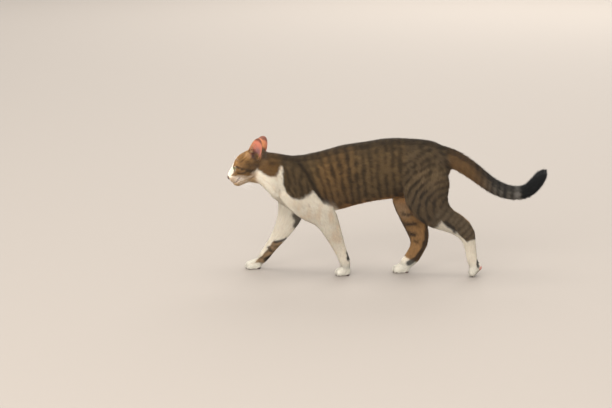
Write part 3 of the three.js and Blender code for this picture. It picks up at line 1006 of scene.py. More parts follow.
def leg_colors(name, place):
    x, y, z = place.T
    line = np.array(LIE[name], float)
    order = np.argsort(line[:, 2])
    behind = x - np.interp(z, line[order, 2], line[order, 0])
    centre_y = np.interp(z, line[order, 2], line[order, 1])
    ragged = 1.5 * noise(place, 7, 9)
    inner = smoothstep(-1, 5, (centre_y - y) * np.sign(line[0, 1]))
    share = 1
    if name == "foreleg_left":
        color = left_foreleg(place)
    elif name == "foreleg_right":
        color = right_foreleg(place, behind, ragged)
    elif name == "hindleg_left":
        color = left_hindleg(place, inner, ragged)
    else:
        color = right_hindleg(place, inner, behind, ragged)
        share = (z < MARKS_HIGH) * np.maximum(inner, 0.4)
    # Painted shade: the paws are no lighter than a greyer white, fully so below 14 mm and fading out by 34
    # mm.
    color = color + (np.minimum(color, PAW_SHADE_WHITE) - color) * (1 - smoothstep(14, 34, z))[:, None]
    for line, half_width, over, strength in LEG_MARKS[name]:
        color = mix(color, over, share * strength * near_line(x + ragged, z, line, half_width))
    return color


print("paws no lighter than", PAW_SHADE_WHITE.round(2))

# %% [markdown]
# ## The tail
# The tail is tan below and dark along its top, and grows greyer and ringed towards its end. One
# pale ring parts it from the black tip. Rings follow the tail's bend, so they are counted along
# its line and not along X.

# %% Tail colours
RINGS_START = 150
TAIL_RING = 146  # the middle of a dark ring, along the tail
TAIL_BAND = 13.5
TAIL_TIP = BLACK * 0.36
TAIL_PALE = PALE_GREY * 0.86


def tail_colors(place, outward):
    x, _, z = place.T
    line = np.array(LIE["tail"], float)
    run = np.concatenate([[0], np.cumsum(np.hypot(np.diff(line[:, 0]), np.diff(line[:, 2])))])
    at = np.interp(x + 0.25 * (z - 200) * (x > 285), line[:, 0], run)
    wobble = 2.5 * noise(place, 12, 11)
    top = smoothstep(-0.1, 0.55, outward[:, 2] + 0.15 * noise(place, 9, 12))
    rings = bands((at + wobble - TAIL_RING) / TAIL_BAND, 0.9, -0.2)
    rings = rings * (0.2 + 0.75 * smoothstep(RINGS_START, 235, x))
    far = smoothstep(165, 225, x)
    ground = mix(mix(TAN * 1.4, LIGHT, 0.3), GREY * 1.1, 0.08 + 0.92 * far)
    dark = np.clip(rings + 0.64 * top * (1 - 0.3 * rings), 0, 0.95)
    color = mix(ground, BLACK, dark)
    pale = smoothstep(253, 257, x + wobble) * (1 - smoothstep(264, 267, x + wobble))
    color = mix(color, TAIL_PALE, pale * (1 - 0.6 * top))
    return mix(color, TAIL_TIP, smoothstep(265, 268.5, x + wobble))


print("a ring every", TAIL_BAND, "mm of tail")

# %% [markdown]
# ## Which skin is ear
# An ear is painted by its own measures: height from foot to tip, nearness to the rim, and
# whether a place lies inside the cup or on its back. They are found from the leaf's formula.

# %% Measures of the ears


def ear_share_of(spot):
    """How much places belong to an ear, their height and nearness to its rim, and if inside."""
    share = np.zeros(len(spot))
    height = np.zeros(len(spot))
    edge = np.zeros(len(spot))
    inside = np.zeros(len(spot))
    for side in (LEFT, RIGHT):
        root, tip, along, facing, across = ear_frame(side)
        v = (spot - root) @ along / np.linalg.norm(tip - root)
        taper = ear_taper(np.clip(v, 0, 0.97))
        s = (spot - root) @ across / (EAR_HALF_WIDTH * np.maximum(taper, 0.2))
        sunk = EAR_CUP * taper * (1 - 0.45 * v) * (1 - np.clip(s, -1, 1) ** 2) + 0.35
        off = -(spot - root) @ facing - sunk
        own = (np.abs(off) < 3.2) & (np.abs(s) < 1.15) & (v > 0.06) & (v < 1.1)
        share = np.where(own, smoothstep(0.1, 0.2, v), share)
        height = np.where(own, v, height)
        edge = np.where(own, np.abs(s), edge)
        inside = np.where(own, 1 - smoothstep(0.35, 0.95, off), inside)
    return share, height, edge, inside


print("ears", np.linalg.norm(EAR_TIP - EAR_ROOT).round(1), "mm high")

# %% [markdown]
# ## Colours of the ears
# Inside, the ears are bare and pink, with a few dark spots at the foot and a duskier middle that
# is painted shade deep in the cup. Their rims are tan, and the backs are painted orange, as light
# shining through them from behind, with a dark foot and tip.

# %% Ear colours


def with_ears(color, place, spot, ragged):
    """The head's colours with the bowls and the leaves of the ears painted over them."""
    dots = smoothstep(0.0, 0.25, noise(place, 6.2, 18))
    for side in (LEFT, RIGHT):
        root, _, _, _, across = ear_frame(side)
        bowl = smoothstep(0.05, 0.4, bowl_share(spot, side))
        # Painted shade: deeper in the bowl, away from its front, the pink turns dusky.
        flesh_tone = mix(EAR_CUP_SHADE, EAR_PINK, smoothstep(2, 9, -(spot - root) @ across * side))
        color = mix(color, mix(flesh_tone, BLACK, 0.75 * dots), bowl)
    share, height, edge, inside = ear_share_of(spot)
    # Painted shade: the middle and the low part of the cup turn dusky.
    dusk = (1 - smoothstep(0.2, 0.7, edge)) * (1 - smoothstep(0.3, 0.62, height))
    pink = mix(EAR_PINK, EAR_CUP_SHADE, 0.85 * dusk)
    spots = (1 - smoothstep(0.25, 0.36, height)) * smoothstep(0.1, 0.5, noise(place, 5, 15))
    pink = mix(pink, BLACK, 0.6 * spots)
    ends = np.maximum(smoothstep(0.76, 0.88, height), 1 - smoothstep(0.25, 0.5, height))
    rim = smoothstep(0.86, 0.97, edge) * (1 - smoothstep(0.9, 0.97, height))
    # Painted light: the ear's back is orange, as light shining through it from behind.
    ear = mix(mix(EAR_BACK_GLOW, DARK, ends), mix(pink, mix(TAN, BUFF, 0.3), 0.7 * rim), inside)
    ear = mix(ear, DARK, (0.92 - 0.3 * inside) * smoothstep(0.7, 0.84, height + 0.02 * ragged))
    return mix(color, ear, share)


print("ear pink", EAR_PINK.round(2), "and dusk", EAR_CUP_SHADE.round(2))

# %% [markdown]
# ## Markings of the face
# A white blaze runs from the muzzle up between the eyes. The brow is brown with fine dark
# lines, the cheek is tan with two dark stripes that sweep back from the eye, and the lids are
# rimmed with near black. All of it is measured in the head's own frame, and the left half
# mirrors the right.

# %% Face colours
FACE_WHITE = np.array([
    (-60, -3), (-50, -11), (-46.6, -13), (-30, -20), (-13.8, -25), (5.7, -17.8), (20, -14),
])
BLAZE = np.array([(-14, 13), (0, 12.5), (6, 11), (10, 8), (15, 4), (20, 1.2), (24, -1)])
CHEEK_MARKS = [
    ([(-31, 1.3), (-20, -5.5), (-8.8, -13.4), (2, -20)], 1.9, 0.9),
    ([(-34, -11.5), (-26, -14.2), (-18.8, -15.2), (-11, -14.6)], 1.6, 0.9),
    ([(-24, 10), (-12, 7), (0, 0)], 1.4, 0.5),
]


def head_colors(place, outward, spot):
    x, y, z = spot[:, 0], np.abs(spot[:, 1]), spot[:, 2]
    ragged = noise(place, 5, 13)
    upward = smoothstep(0.1, 0.7, (outward @ np.array(head_frame)[:3, :3])[:, 2])
    lines = bands((y + 0.08 * x + 0.8 * noise(place, 14, 14)) / 6.2, 0.8, 0.15)
    brow = mix(TAN * 1.52, DARK, (0.04 + 0.42 * lines) * upward + 0.2 * (1 - upward))
    cheek = mix(TAN * 1.36, DARK, 0.3 + 0.18 * ragged + 0.3 * smoothstep(-22, -6, x))
    color = mix(cheek, brow, smoothstep(-6, 6, z + 0.2 * x + 2 * ragged))
    tuft_front = 1 - smoothstep(0.6, 1.0, np.hypot((x - 1) / 14, (z - 14 + 0.55 * x) / 6))
    tuft_front = tuft_front * smoothstep(12, 17, y)
    color = mix(color, mix(BUFF, LIGHT, 0.25), 0.85 * tuft_front)
    color = mix(color, BLACK, 0.9 * tuft_front * smoothstep(0.12, 0.3, noise(place, 6.5, 19)))
    for line, half_width, strength in CHEEK_MARKS:
        line_share = near_line(x + ragged, z + 0.8 * ragged, line, half_width) * smoothstep(8, 12, y)
        color = mix(color, DARK, strength * line_share * (0.8 + 0.2 * noise(place, 4, 24)))
    low = np.interp(x, FACE_WHITE[:, 0], FACE_WHITE[:, 1]) + 1.2 * ragged
    white = smoothstep(-1.2, 1.2, low - z)
    blaze = np.interp(z, BLAZE[:, 0], BLAZE[:, 1]) + 0.8 * ragged
    white = np.maximum(white, smoothstep(-0.8, 0.8, blaze - y) * (1 - smoothstep(-24, -16, x)))
    # Painted shade: below the nose the white is dimmed to a greyer white, and under the chin to a shaded
    # tan.
    pale = mix(WHITE, MUZZLE_SHADE, 1 - smoothstep(-16, -11, z))
    pale = mix(pale, CHIN_SHADE, 1 - smoothstep(-31, -25, z))
    color = mix(color, pale, white)
    for side in (LEFT, RIGHT):
        across, up, out = eye_chart(spot, side)
        beyond = past_lid(across, up)
        near = (out < 15).astype(float)
        pale_ring = near * (1 - smoothstep(1.5, 4, beyond)) * (y > 10)
        color = mix(color, mix(TAN, WHITE, 0.3), 0.65 * pale_ring)
        color = mix(color, LID, near * (1 - smoothstep(0.55, 1.2, beyond)))
    lip = 1 - smoothstep(0.6, 1.7 + 1.1 * smoothstep(-50, -42, x), gap_to(place, mouth_line / MM))
    color = mix(color, LIP, 0.85 * lip)
    return with_ears(color, place, spot, ragged)


print("cheek marks:", len(CHEEK_MARKS))

# %% [markdown]
# ## One marking for the whole cat
# Body, legs, tail and head each have their own colours, and no hard line may show where they
# meet. So every place takes a share of each part, by how close it is to the part's line, and
# the shares are blended. Skin and tufts both ask this one function for their colour.

# %% Blend the markings


def marking(points, outward):
    """The coat's colour at places on the skin, in linear values."""
    place = points / MM
    gaps = along_lines(points)[2]
    names = list(gaps)
    near = np.stack([1 / (gaps[name] / MM + 3) ** 8 for name in names], 1)
    near /= near.sum(1, keepdims=True)
    leg_end = 1 - smoothstep(128, 158, place[:, 2])
    behind_elbow = smoothstep(-3, 5, place[:, 0] + 102 - 0.4 * (145 - place[:, 2]))
    foreleg_end = leg_end * (1 - behind_elbow * smoothstep(118, 132, place[:, 2]))
    tail_start = smoothstep(118, 128, place[:, 0])
    ends = {name: foreleg_end if name.startswith("foreleg") else leg_end for name in names}
    ends["tail"] = tail_start
    shares = {name: near[:, i] * ends[name] for i, name in enumerate(names) if name != "body"}
    color = (1 - sum(shares.values()))[:, None] * body_colors(place, outward)
    for name, share in shares.items():
        here = share > 0.004
        if name == "tail":
            part = tail_colors(place[here], outward[here])
        else:
            part = leg_colors(name, place[here])
        color[here] += share[here, None] * part
    spot = in_head(points)
    on_head = 1 - smoothstep(-2, 12, spot[:, 0] - 0.3 * (spot[:, 2] + 10))
    on_head = on_head * smoothstep(-80, -60, spot[:, 2])
    on_head = np.maximum(on_head, ear_share_of(spot)[0])
    here = on_head > 0.004
    spot = spot[here]
    color[here] = mix(color[here], head_colors(place[here], outward[here], spot), on_head[here])
    # Painted shade: the creases between the toes are darkened.
    color = color * (1 - 0.45 * toe_crease(points))[:, None]
    return np.clip(color, 0.003, 0.95)


points = places(melted)
outward = normals(melted)
skin_color = marking(points, outward)
print("mean colour of the skin", skin_color.mean(0).round(3))

# %% [markdown]
# ## Fur and skin materials
# The markings reach the shaders as a colour attribute on each mesh. No real surface has one
# flat colour, so a fine noise darkens and lightens it, and roughens it where there is relief.

# %% A painted material
RELIEF_DEEP = 0.6 * MM


def socket_value(shader, values):
    for name, value in values.items():
        shader.inputs[name].default_value = value


def painted_material(name, grain, contrast, bump, values):
    """A material whose colour is the attribute "paint" under a fine grain."""
    material = bpy.data.materials.new(name)
    material.use_nodes = True
    nodes, links = material.node_tree.nodes, material.node_tree.links
    shader = nodes["Principled BSDF"]
    paint = nodes.new("ShaderNodeAttribute")
    paint.attribute_name = "paint"
    where = nodes.new("ShaderNodeTexCoord")
    speck = nodes.new("ShaderNodeTexNoise")
    speck.inputs["Scale"].default_value = grain
    speck.inputs["Detail"].default_value = 3
    links.new(where.outputs["Object"], speck.inputs["Vector"])
    level = nodes.new("ShaderNodeMapRange")
    socket_value(level, {"From Min": 0.3, "From Max": 0.7, "To Min": 1 - contrast, "To Max": 1 + contrast})
    links.new(speck.outputs["Fac"], level.inputs["Value"])
    toned = nodes.new("ShaderNodeVectorMath")
    toned.operation = "SCALE"
    links.new(paint.outputs["Color"], toned.inputs[0])
    links.new(level.outputs["Result"], toned.inputs["Scale"])
    links.new(toned.outputs["Vector"], shader.inputs["Base Color"])
    if bump:
        relief = nodes.new("ShaderNodeBump")
        relief.inputs["Strength"].default_value = bump
        relief.inputs["Distance"].default_value = RELIEF_DEEP
        links.new(speck.outputs["Fac"], relief.inputs["Height"])
        links.new(relief.outputs["Normal"], shader.inputs["Normal"])
    socket_value(shader, values)
    return material


print("a painted material takes its colour from each mesh")

# %% [markdown]
# ## The five finishes
# Fur gets a sheen, which gives its edges the soft glow that real hair has against the light.
# The hide under it is dull, nose leather has a faint gloss, an eye is wet under a clear coat,
# and whiskers shine like bristles. Then the skin is dressed.

# %% Finishes
FUR_SHEEN = {"Roughness": 0.62, "Specular IOR Level": 0.2, "Sheen Weight": 0.04, "Sheen Roughness": 0.5}
DULL = {"Roughness": 0.6, "Specular IOR Level": 0.3}
FAINT_GLOSS = {"Roughness": 0.38, "Specular IOR Level": 0.5}
WET = {"Roughness": 0.08, "Coat Weight": 1.0, "Coat Roughness": 0.02}
SHINE = {"Roughness": 0.35, "Specular IOR Level": 0.5}
fur = painted_material("fur", grain=900, contrast=0.12, bump=0, values=FUR_SHEEN)
hide = painted_material("hide", grain=1400, contrast=0.1, bump=0.5, values=DULL)
leather = painted_material("nose leather", grain=1800, contrast=0.12, bump=0.6, values=FAINT_GLOSS)
wet_eye = painted_material("eye", grain=700, contrast=0.05, bump=0, values=WET)
bristle = painted_material("whisker", grain=300, contrast=0.05, bump=0, values=SHINE)


def paint_mesh(mesh, colors):
    """The colours of the mesh's points as its attribute "paint"."""
    layer = mesh.color_attributes.new("paint", "FLOAT_COLOR", "POINT")
    full = np.ones((len(colors), 4), np.float32)
    full[:, :3] = colors
    layer.data.foreach_set("color", full.ravel())


def smooth_shading(mesh):
    mesh.polygons.foreach_set("use_smooth", np.ones(len(mesh.polygons), bool))
    mesh.update()


def dress(piece, colors, material):
    """A piece painted point by point, shaded smooth and given its material."""
    paint_mesh(piece.data, colors)
    smooth_shading(piece.data)
    piece.data.materials.append(material)


SKIN_TONE = 0.8  # the skin lies in the shade of the coat
melted.materials.clear()
dress(skin, skin_color * SKIN_TONE, hide)
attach(skin, "root")
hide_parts(*FLESH)
print("materials:", [material.name for material in bpy.data.materials])

# %% [markdown]
# ## Eyes
# Each eyeball is a globe with a clear bulge in front. The iris is green-gold with rays that run
# out from a slit pupil, narrow in daylight, and a dark ring parts it from the white.

# %% Eyeballs
IRIS = 7.6
BULGE = 0.5
HIDDEN_SINK = 2.2  # the half behind the lids is smaller, so that it stays under the skin
PUPIL_WIDE, PUPIL_HIGH = 1.3, 5.2
IRIS_INNER = paint_color(104, 100, 50)
IRIS_OUTER = paint_color(58, 68, 42)
EYE_WHITE = paint_color(196, 186, 170)


def eyeball(side):
    shape = bmesh.new()
    bmesh.ops.create_uvsphere(shape, u_segments=96, v_segments=96, radius=EYE_RADIUS)
    flip = np.array((1, side, 1))
    turn = np.stack([CORNER * flip, UPWARD * flip, GAZE * flip], 1)
    flat = np.array([vert.co for vert in shape.verts])
    reach = np.hypot(flat[:, 0], flat[:, 1]) / IRIS
    lift = 1 + BULGE / EYE_RADIUS * (1 - smoothstep(0.2, 1.2, reach)) * (flat[:, 2] > 0)
    lift = lift - HIDDEN_SINK / EYE_RADIUS * (1 - smoothstep(0.05, 0.5, flat[:, 2] / EYE_RADIUS))
    for vert, place in zip(shape.verts, (flat * lift[:, None]) @ turn.T + EYE_AT * flip):
        vert.co = place
    bmesh.ops.recalc_face_normals(shape, faces=shape.faces)
    ball = new_object("eye", head_mesh(shape, "eye"))
    angle = np.arctan2(flat[:, 1], flat[:, 0])
    rays = 0.85 + 0.15 * np.sin(23 * angle + 3 * np.sin(5 * angle))
    color = mix(np.broadcast_to(IRIS_INNER, flat.shape), IRIS_OUTER, smoothstep(0.35, 0.95, reach))
    color = color * rays[:, None]
    pupil = np.hypot(flat[:, 0] / PUPIL_WIDE, flat[:, 1] / PUPIL_HIGH)
    color = mix(color, BLACK * 0.4, 1 - smoothstep(0.85, 1.1, pupil))
    color = mix(color, LID, smoothstep(0.9, 1.0, reach) * (1 - smoothstep(1.05, 1.2, reach)))
    color = mix(color, EYE_WHITE, np.where(flat[:, 2] > 0, smoothstep(1.08, 1.22, reach), 1))
    dress(ball, color, wet_eye)
    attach(ball, "root")
    return ball


eye_left, eye_right = eyeball(LEFT), eyeball(RIGHT)
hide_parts("eye_left")
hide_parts("eye_right")
print("eyes of", len(eye_left.data.vertices), "points each")

# %% [markdown]
# ## Nose
# The nose is bare brown leather: wide at the top, narrow below, with a nostril on each side
# that curls outward. It starts as a sphere, and a few soft dents shape it.

# %% Nose leather
NOSE_AT = np.array((-56.0, 0, -12.6))
NOSE_SIZE = np.array((4.8, 6.4, 5.2))
NOSE_BROWN = paint_color(92, 62, 50)
NOSE_DARK = paint_color(36, 26, 22)

shape = bmesh.new()
bmesh.ops.create_uvsphere(shape, u_segments=48, v_segments=36, radius=1)
flat = np.array([vert.co for vert in shape.verts])
narrow = 0.42 + 0.58 * smoothstep(-1, 0.45, flat[:, 2])
bent = flat * np.stack([np.ones(len(flat)), narrow, np.ones(len(flat))], 1)
side_way = np.abs(bent[:, 1])
in_front = bent[:, 0] < 0
curl = (side_way - 0.5 - 0.5 * (bent[:, 2] + 0.15) ** 2) / 0.17
nostril = np.exp(-(curl**2) - ((bent[:, 2] + 0.12) / 0.3) ** 2) * in_front
philtrum = np.exp(-((bent[:, 1] / 0.07) ** 2)) * (1 - smoothstep(-0.3, 0.3, bent[:, 2])) * in_front
sunk = 1 - 0.36 * nostril - 0.1 * philtrum
for vert, place in zip(shape.verts, bent * sunk[:, None] * NOSE_SIZE + NOSE_AT):
    vert.co = place
bmesh.ops.recalc_face_normals(shape, faces=shape.faces)
nose = new_object("nose", head_mesh(shape, "nose"))
nose_color = mix(np.broadcast_to(NOSE_BROWN, flat.shape), NOSE_DARK, 0.35 + 0.3 * noise(flat * 5, 2, 20))
# Painted shade: the nostrils are darkened nearly to black, for the shade inside their openings.
dress(nose, mix(nose_color, BLACK * 0.5, np.clip(nostril * 1.3, 0, 1)), leather)
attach(nose, "root")
print("nose of", len(nose.data.vertices), "points")

# %% [markdown]
# ## Pads
# A cat walks on its toes: each paw has one broad pad with three lobes and four toe beans. They
# are small cushions that fill the last millimetre between the skin and the floor. On the lifted
# hind foot, which shows its broad pad from behind, they are pink. On the standing paws they are
# painted nearly black, as painted shade where the paw presses on the floor.

# %% Paw pads
# Each cushion's place on the sole and its half sizes: first the broad pad's lobes, then toes.
CUSHIONS = [(6, 0, 7.5, 6.2), (8.5, 5.2, 4.4, 3.8), (8.5, -5.2, 4.4, 3.8)] + [
    (x, y, 3.6, 2.9) for x, y in ((-13, 4.2), (-13, -4.2), (-8.5, 10.2), (-8.5, -10.2))
]
PAD_RISE = 1.05  # the paw's sole is cut flat this high in the paw's own frame
PAD_HIGH, LIFTED_PAD_HIGH = 1.9, 2.6
LIFTED_SINK = 0.4  # how deep a lifted pad's middle lies in the sole
PAD_PINK = paint_color(146, 92, 80)
PAD_SHADE_DARK = paint_color(40, 33, 31)


for name, (at, length, tilt, darkness) in PAWS.items():
    shape = bmesh.new()
    high = LIFTED_PAD_HIGH if tilt else PAD_HIGH
    rise = PAD_RISE + (LIFTED_SINK if tilt else high)
    for x, y, long, wide in CUSHIONS[:3] if tilt else CUSHIONS:
        lump = bmesh.ops.create_uvsphere(shape, u_segments=20, v_segments=12, radius=1)["verts"]
        bmesh.ops.scale(shape, vec=(long, wide, high), verts=lump)
        bmesh.ops.translate(shape, vec=(x, y, rise), verts=lump)
    bmesh.ops.scale(shape, vec=(MM, MM, MM), verts=shape.verts)
    bmesh.ops.transform(shape, matrix=paw_matrix(at, length, tilt), verts=shape.verts)
    for vert in shape.verts:
        vert.co.z = max(vert.co.z, 0)
    pads = new_object("pads_" + name, mesh_of(shape, "pads_" + name))
    grain = 0.5 + 0.5 * noise(places(pads.data) / MM, 3, 21)
    pink = np.broadcast_to(PAD_PINK, (len(grain), 3))
    # Painted shade: the pads of the standing paws are nearly black, for the shade under the paw.
    dress(pads, mix(pink, PAD_SHADE_DARK, darkness * (0.9 + 0.1 * grain)), leather)
    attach(pads, "root")
print("pads on", len(PAWS), "paws")

# %% [markdown]
# ## Where each hair lies
# Every point of the skin needs the direction of its hair, how long its tuft is, and how high
# the tips stand. On the body these come from the lines. On the face the hair fans out from the
# nose, and on the ears it runs from foot to tip.

# %% The lie over the whole skin
FLANK_FALL = 0.35  # how much the body's hair points down as well as back
HEAD_FUR_LONG, FACE_FUR_LONG = 8.5, 3.0
EAR_FUR_LONG, EAR_FUR_HIGH = 2.6, 0.5


def lie_of(points, outward, edges):
    """For the skin's points: direction, length and height of tufts, and shares of the ears."""
    numbers, direction, gaps = along_lines(points)
    on_body = 1 / (1 + (gaps["body"] / MM / 60) ** 4)
    direction = direction - on_body[:, None] * FLANK_FALL * (0, 0, 1)
    spot = in_head(points)
    from_nose = unit(points - np.array(NOSE) * MM)
    on_head = head_share(points)
    direction = direction * (1 - on_head[:, None]) + from_nose * on_head[:, None]
    share, _, _, inside = ear_share_of(spot)
    for side in (LEFT, RIGHT):
        own = share * (spot[:, 1] * side > 0)
        world_along = np.array(head_frame)[:3, :3] @ ear_frame(side)[2]
        direction = direction * (1 - own[:, None]) + world_along * own[:, None]
    face = 1 - smoothstep(-46, -6, spot[:, 0])
    head_long = HEAD_FUR_LONG - (HEAD_FUR_LONG - FACE_FUR_LONG) * face
    head_high = HEAD_COAT - (HEAD_COAT - MUZZLE_COAT) * face
    for side in (LEFT, RIGHT):
        near_eye = 1 - smoothstep(12, 20, eye_chart(spot, side)[2])
        head_long = head_long + (FACE_FUR_LONG - head_long) * near_eye
        head_high = head_high + (LID_COAT - head_high) * near_eye
    long = numbers[:, 1] * (1 - on_head) + head_long * on_head
    high = numbers[:, 0] * (1 - on_head) + head_high * on_head
    long = long * (1 - share) + EAR_FUR_LONG * share
    high = high * (1 - share) + EAR_FUR_HIGH * share
    flat = direction - (direction * outward).sum(1, keepdims=True) * outward
    flat = unit(spread(unit(flat), edges, 6))
    return flat, long, high, share, inside


points = places(melted)
outward = normals(melted)
edges = edge_ends(melted)
lie, tuft_long, tuft_high, on_ear, ear_inside = lie_of(points, outward, edges)
print("tufts from", tuft_long.min().round(1), "to", tuft_long.max().round(1), "mm long")

# %% [markdown]
# ## Where tufts grow
# We drop roots on the skin's triangles at random, in proportion to their area. Some places get
# few or none, as on a real cat: the lids' rims, the lips, the nose, the inner ear and the soles.

# %% Roots
BODY_CROWD = 1.6  # tufts in a square millimetre
FINE_CROWD = 2.0
EAR_BARE, BOWL_BARE = 0.93, 0.9  # how much of the fur is missing there
rng = np.random.default_rng(SEED)

melted.calc_loop_triangles()
corners = np.empty(len(melted.loop_triangles) * 3, np.int32)
melted.loop_triangles.foreach_get("vertices", corners)
corners = corners.reshape(-1, 3)

bare = np.zeros(len(points))
spot = in_head(points)
for side in (LEFT, RIGHT):
    across, up, out = eye_chart(spot, side)
    bare = np.maximum(bare, (out < 14) * (1 - smoothstep(0.4, 0.9, past_lid(across, up))))
nose_gap = np.linalg.norm((spot - NOSE_AT) / (1, 1.25, 1), axis=1)
bare = np.maximum(bare, 1 - smoothstep(5.0, 6.0, nose_gap))
bare = np.maximum(bare, 1 - smoothstep(0.8, 1.4, gap_to(points, mouth_line) / MM))
bare = np.maximum(bare, EAR_BARE * on_ear * ear_inside)
for side in (LEFT, RIGHT):
    bare = np.maximum(bare, BOWL_BARE * smoothstep(0.1, 0.5, bowl_share(spot, side)))
bare = np.maximum(bare, smoothstep(0.5, 0.8, -outward[:, 2]) * (points[:, 2] < 2.5 * MM))

fine = 1 - smoothstep(5, 9, tuft_long)
crowd = (BODY_CROWD + (FINE_CROWD - BODY_CROWD) * fine) * (1 - bare)
a, b, c = (points[corners[:, i]] for i in range(3))
area = np.linalg.norm(np.cross(b - a, c - a), axis=1) / 2 / MM**2
expected = area * crowd[corners].mean(1)
count = np.floor(expected + rng.random(len(expected))).astype(int)
triangle = np.repeat(np.arange(len(corners)), count)
share = rng.random((len(triangle), 2))
share = np.where(share.sum(1, keepdims=True) > 1, 1 - share, share)
share = np.column_stack([1 - share.sum(1), share])


def at_roots(values):
    """Values of the skin's points, blended at the roots."""
    picked = values[corners[triangle]]
    return np.einsum("ij,ij...->i...", share, picked)


print(len(triangle), "roots on", round(area.sum() / 100), "square centimetres of skin")

# %% [markdown]
# ## The shape of a tuft
# A tuft is a thin spike with three sides. Its foot stands in the skin, and it lies down over
# its neighbours and ends in a point at the coat's full depth, one tuft's length further along
# the lie. The tip is placed over the nearest skin, so the coat hugs the cat's curves. There
# are hundreds of thousands, so all spikes are worked out together as arrays.

# %% Build the tufts
STRAY_RISE = 1.45  # a few tufts stand proud of the coat
STRAY_SHARE, TAIL_STRAYS = 0.05, 0.12  # and the tail has more of them
TAIL_FROM, TAIL_ABOVE = 0.135, 0.12  # metres
MIDDLE_HIGH = 0.62  # how high a tuft's middle stands, as a share of its tip's height
TUFT_THIN, TUFT_GROW = 0.3, 0.034  # width in millimetres, and how much it grows with length
root = at_roots(points)
up = unit(at_roots(outward))
way = at_roots(lie)
long = at_roots(tuft_long) * rng.normal(1, 0.14, len(root)).clip(0.6, 1.4)
high = at_roots(tuft_high) * (1.12 - 0.5 * rng.random(len(root)) ** 1.5)
on_tail = (root[:, 0] > TAIL_FROM) & (root[:, 2] > TAIL_ABOVE)
stray = rng.random(len(root)) < STRAY_SHARE + TAIL_STRAYS * on_tail
high = high * np.where(stray, STRAY_RISE, 1)
raised = at_roots(tuft_high) * rng.random(len(root)) * 0.3
swing = rng.normal(0, 0.2, len(root))
sideways = np.cross(up, way)
way = unit(way * np.cos(swing)[:, None] + sideways * np.sin(swing)[:, None])
way = unit(way - (way * up).sum(1, keepdims=True) * up)
skin_tree = tree_of(melted)
middle, middle_up = on_skin(skin_tree, root + way * (0.5 * long * MM)[:, None])
tip, tip_up = on_skin(skin_tree, root + way * (long * MM)[:, None])
middle = middle + middle_up * (MIDDLE_HIGH * high * MM)[:, None]
tip = tip + tip_up * (high * MM)[:, None]
wide = (TUFT_THIN + TUFT_GROW * long) * rng.normal(1, 0.15, len(root)).clip(0.6, 1.4) * MM
print("tufts about", round(float(wide.mean() / MM), 2), "mm wide")

# %% [markdown]
# ## Colours of the tufts
# What shows of a tuft is its outer half, so it takes its colour from the skin beneath that
# half. Each hair is darker at its foot, where its neighbours shade it, and single tufts differ
# a little, as ticked fur does.

# %% Colour the tufts
seen = (middle + tip) / 2
seen, seen_up = on_skin(skin_tree, seen)
root_ear = at_roots(on_ear)
tuft_long_at_root = at_roots(tuft_long)
seen = np.where(root_ear[:, None] > 0.2, root, seen)
seen_up = np.where(root_ear[:, None] > 0.2, up, seen_up)
strayed = seen + rng.normal(0, 0.9, seen.shape) * MM * (tuft_long_at_root > 7)[:, None]
tuft_color = marking(strayed, seen_up) * rng.normal(1, 0.13, len(root)).clip(0.65, 1.4)[:, None]
lightness = tuft_color.mean(1)
clump = 0.2 * noise(seen / MM, 3.6, 25) + 0.14 * noise(seen / MM, 8, 26)
tuft_color = tuft_color * (1 + clump * (1 - 0.75 * smoothstep(0.2, 0.6, lightness)))[:, None]
foot_tone = 0.5 + 0.35 * smoothstep(0.25, 0.7, lightness)
tip_tone = rng.normal(1.06, 0.12, len(root)).clip(0.8, 1.35)
print("mean colour of the tufts", tuft_color.mean(0).round(3))

# %% [markdown]
# ## Pieces of the coat
# A mesh of a million triangles is hard to handle, so the coat is divided by body part, and a
# part that is still too large is cut again from front to back.

# %% Divide the skin into coat pieces
PIECE_LIMIT = 190_000
SPIKE = 4  # triangles of a tuft
TRUNK_LOW, TRUNK_END = 0.145, 0.12  # metres: above and before these the coat is the body's

centre = points[corners].mean(1)
centre_gaps = along_lines(centre)[2]
names = list(centre_gaps)
nearest = np.argmin(np.stack([centre_gaps[name] for name in names]), axis=0)
part = np.array(names)[nearest]
part = np.where((centre[:, 2] > TRUNK_LOW) & (centre[:, 0] < TRUNK_END), "body", part)
part = np.where(head_share(centre) > 0.5, "head", part)
cost = count * SPIKE
pieces = {}
for name in ("head", *names):
    mine = np.flatnonzero(part == name)
    mine = mine[np.argsort(centre[mine, 0])]
    total = cost[mine].sum()
    share_of = max(int(np.ceil(total / PIECE_LIMIT)), 1)
    split = np.floor(np.cumsum(cost[mine]) / (total + 1) * share_of).astype(int)
    for i in range(share_of):
        pieces[f"coat_{name}_{i + 1}"] = mine[split == i]
print({name: int(cost[mine].sum()) for name, mine in pieces.items()}, "sum", int(cost.sum()))

# %% [markdown]
# ## Unwrapping
# Colours can only be stored on a picture if every face has a place on a flat map. Blender's
# projection unwrap cuts the piece's skin into flat islands and packs them. It needs an object
# in edit mode, so each piece gets a passing copy of its skin for it.

# %% Unwrap the skin of a piece


def mesh_from(name, all_points, triangles):
    mesh = bpy.data.meshes.new(name)
    mesh.vertices.add(len(all_points))
    mesh.vertices.foreach_set("co", all_points.astype(np.float32).ravel())
    mesh.loops.add(triangles.size)
    mesh.loops.foreach_set("vertex_index", triangles.astype(np.int32).ravel())
    mesh.polygons.add(len(triangles))
    mesh.polygons.foreach_set("loop_start", np.arange(0, triangles.size, 3, dtype=np.int32))
    mesh.update(calc_edges=True)
    return mesh


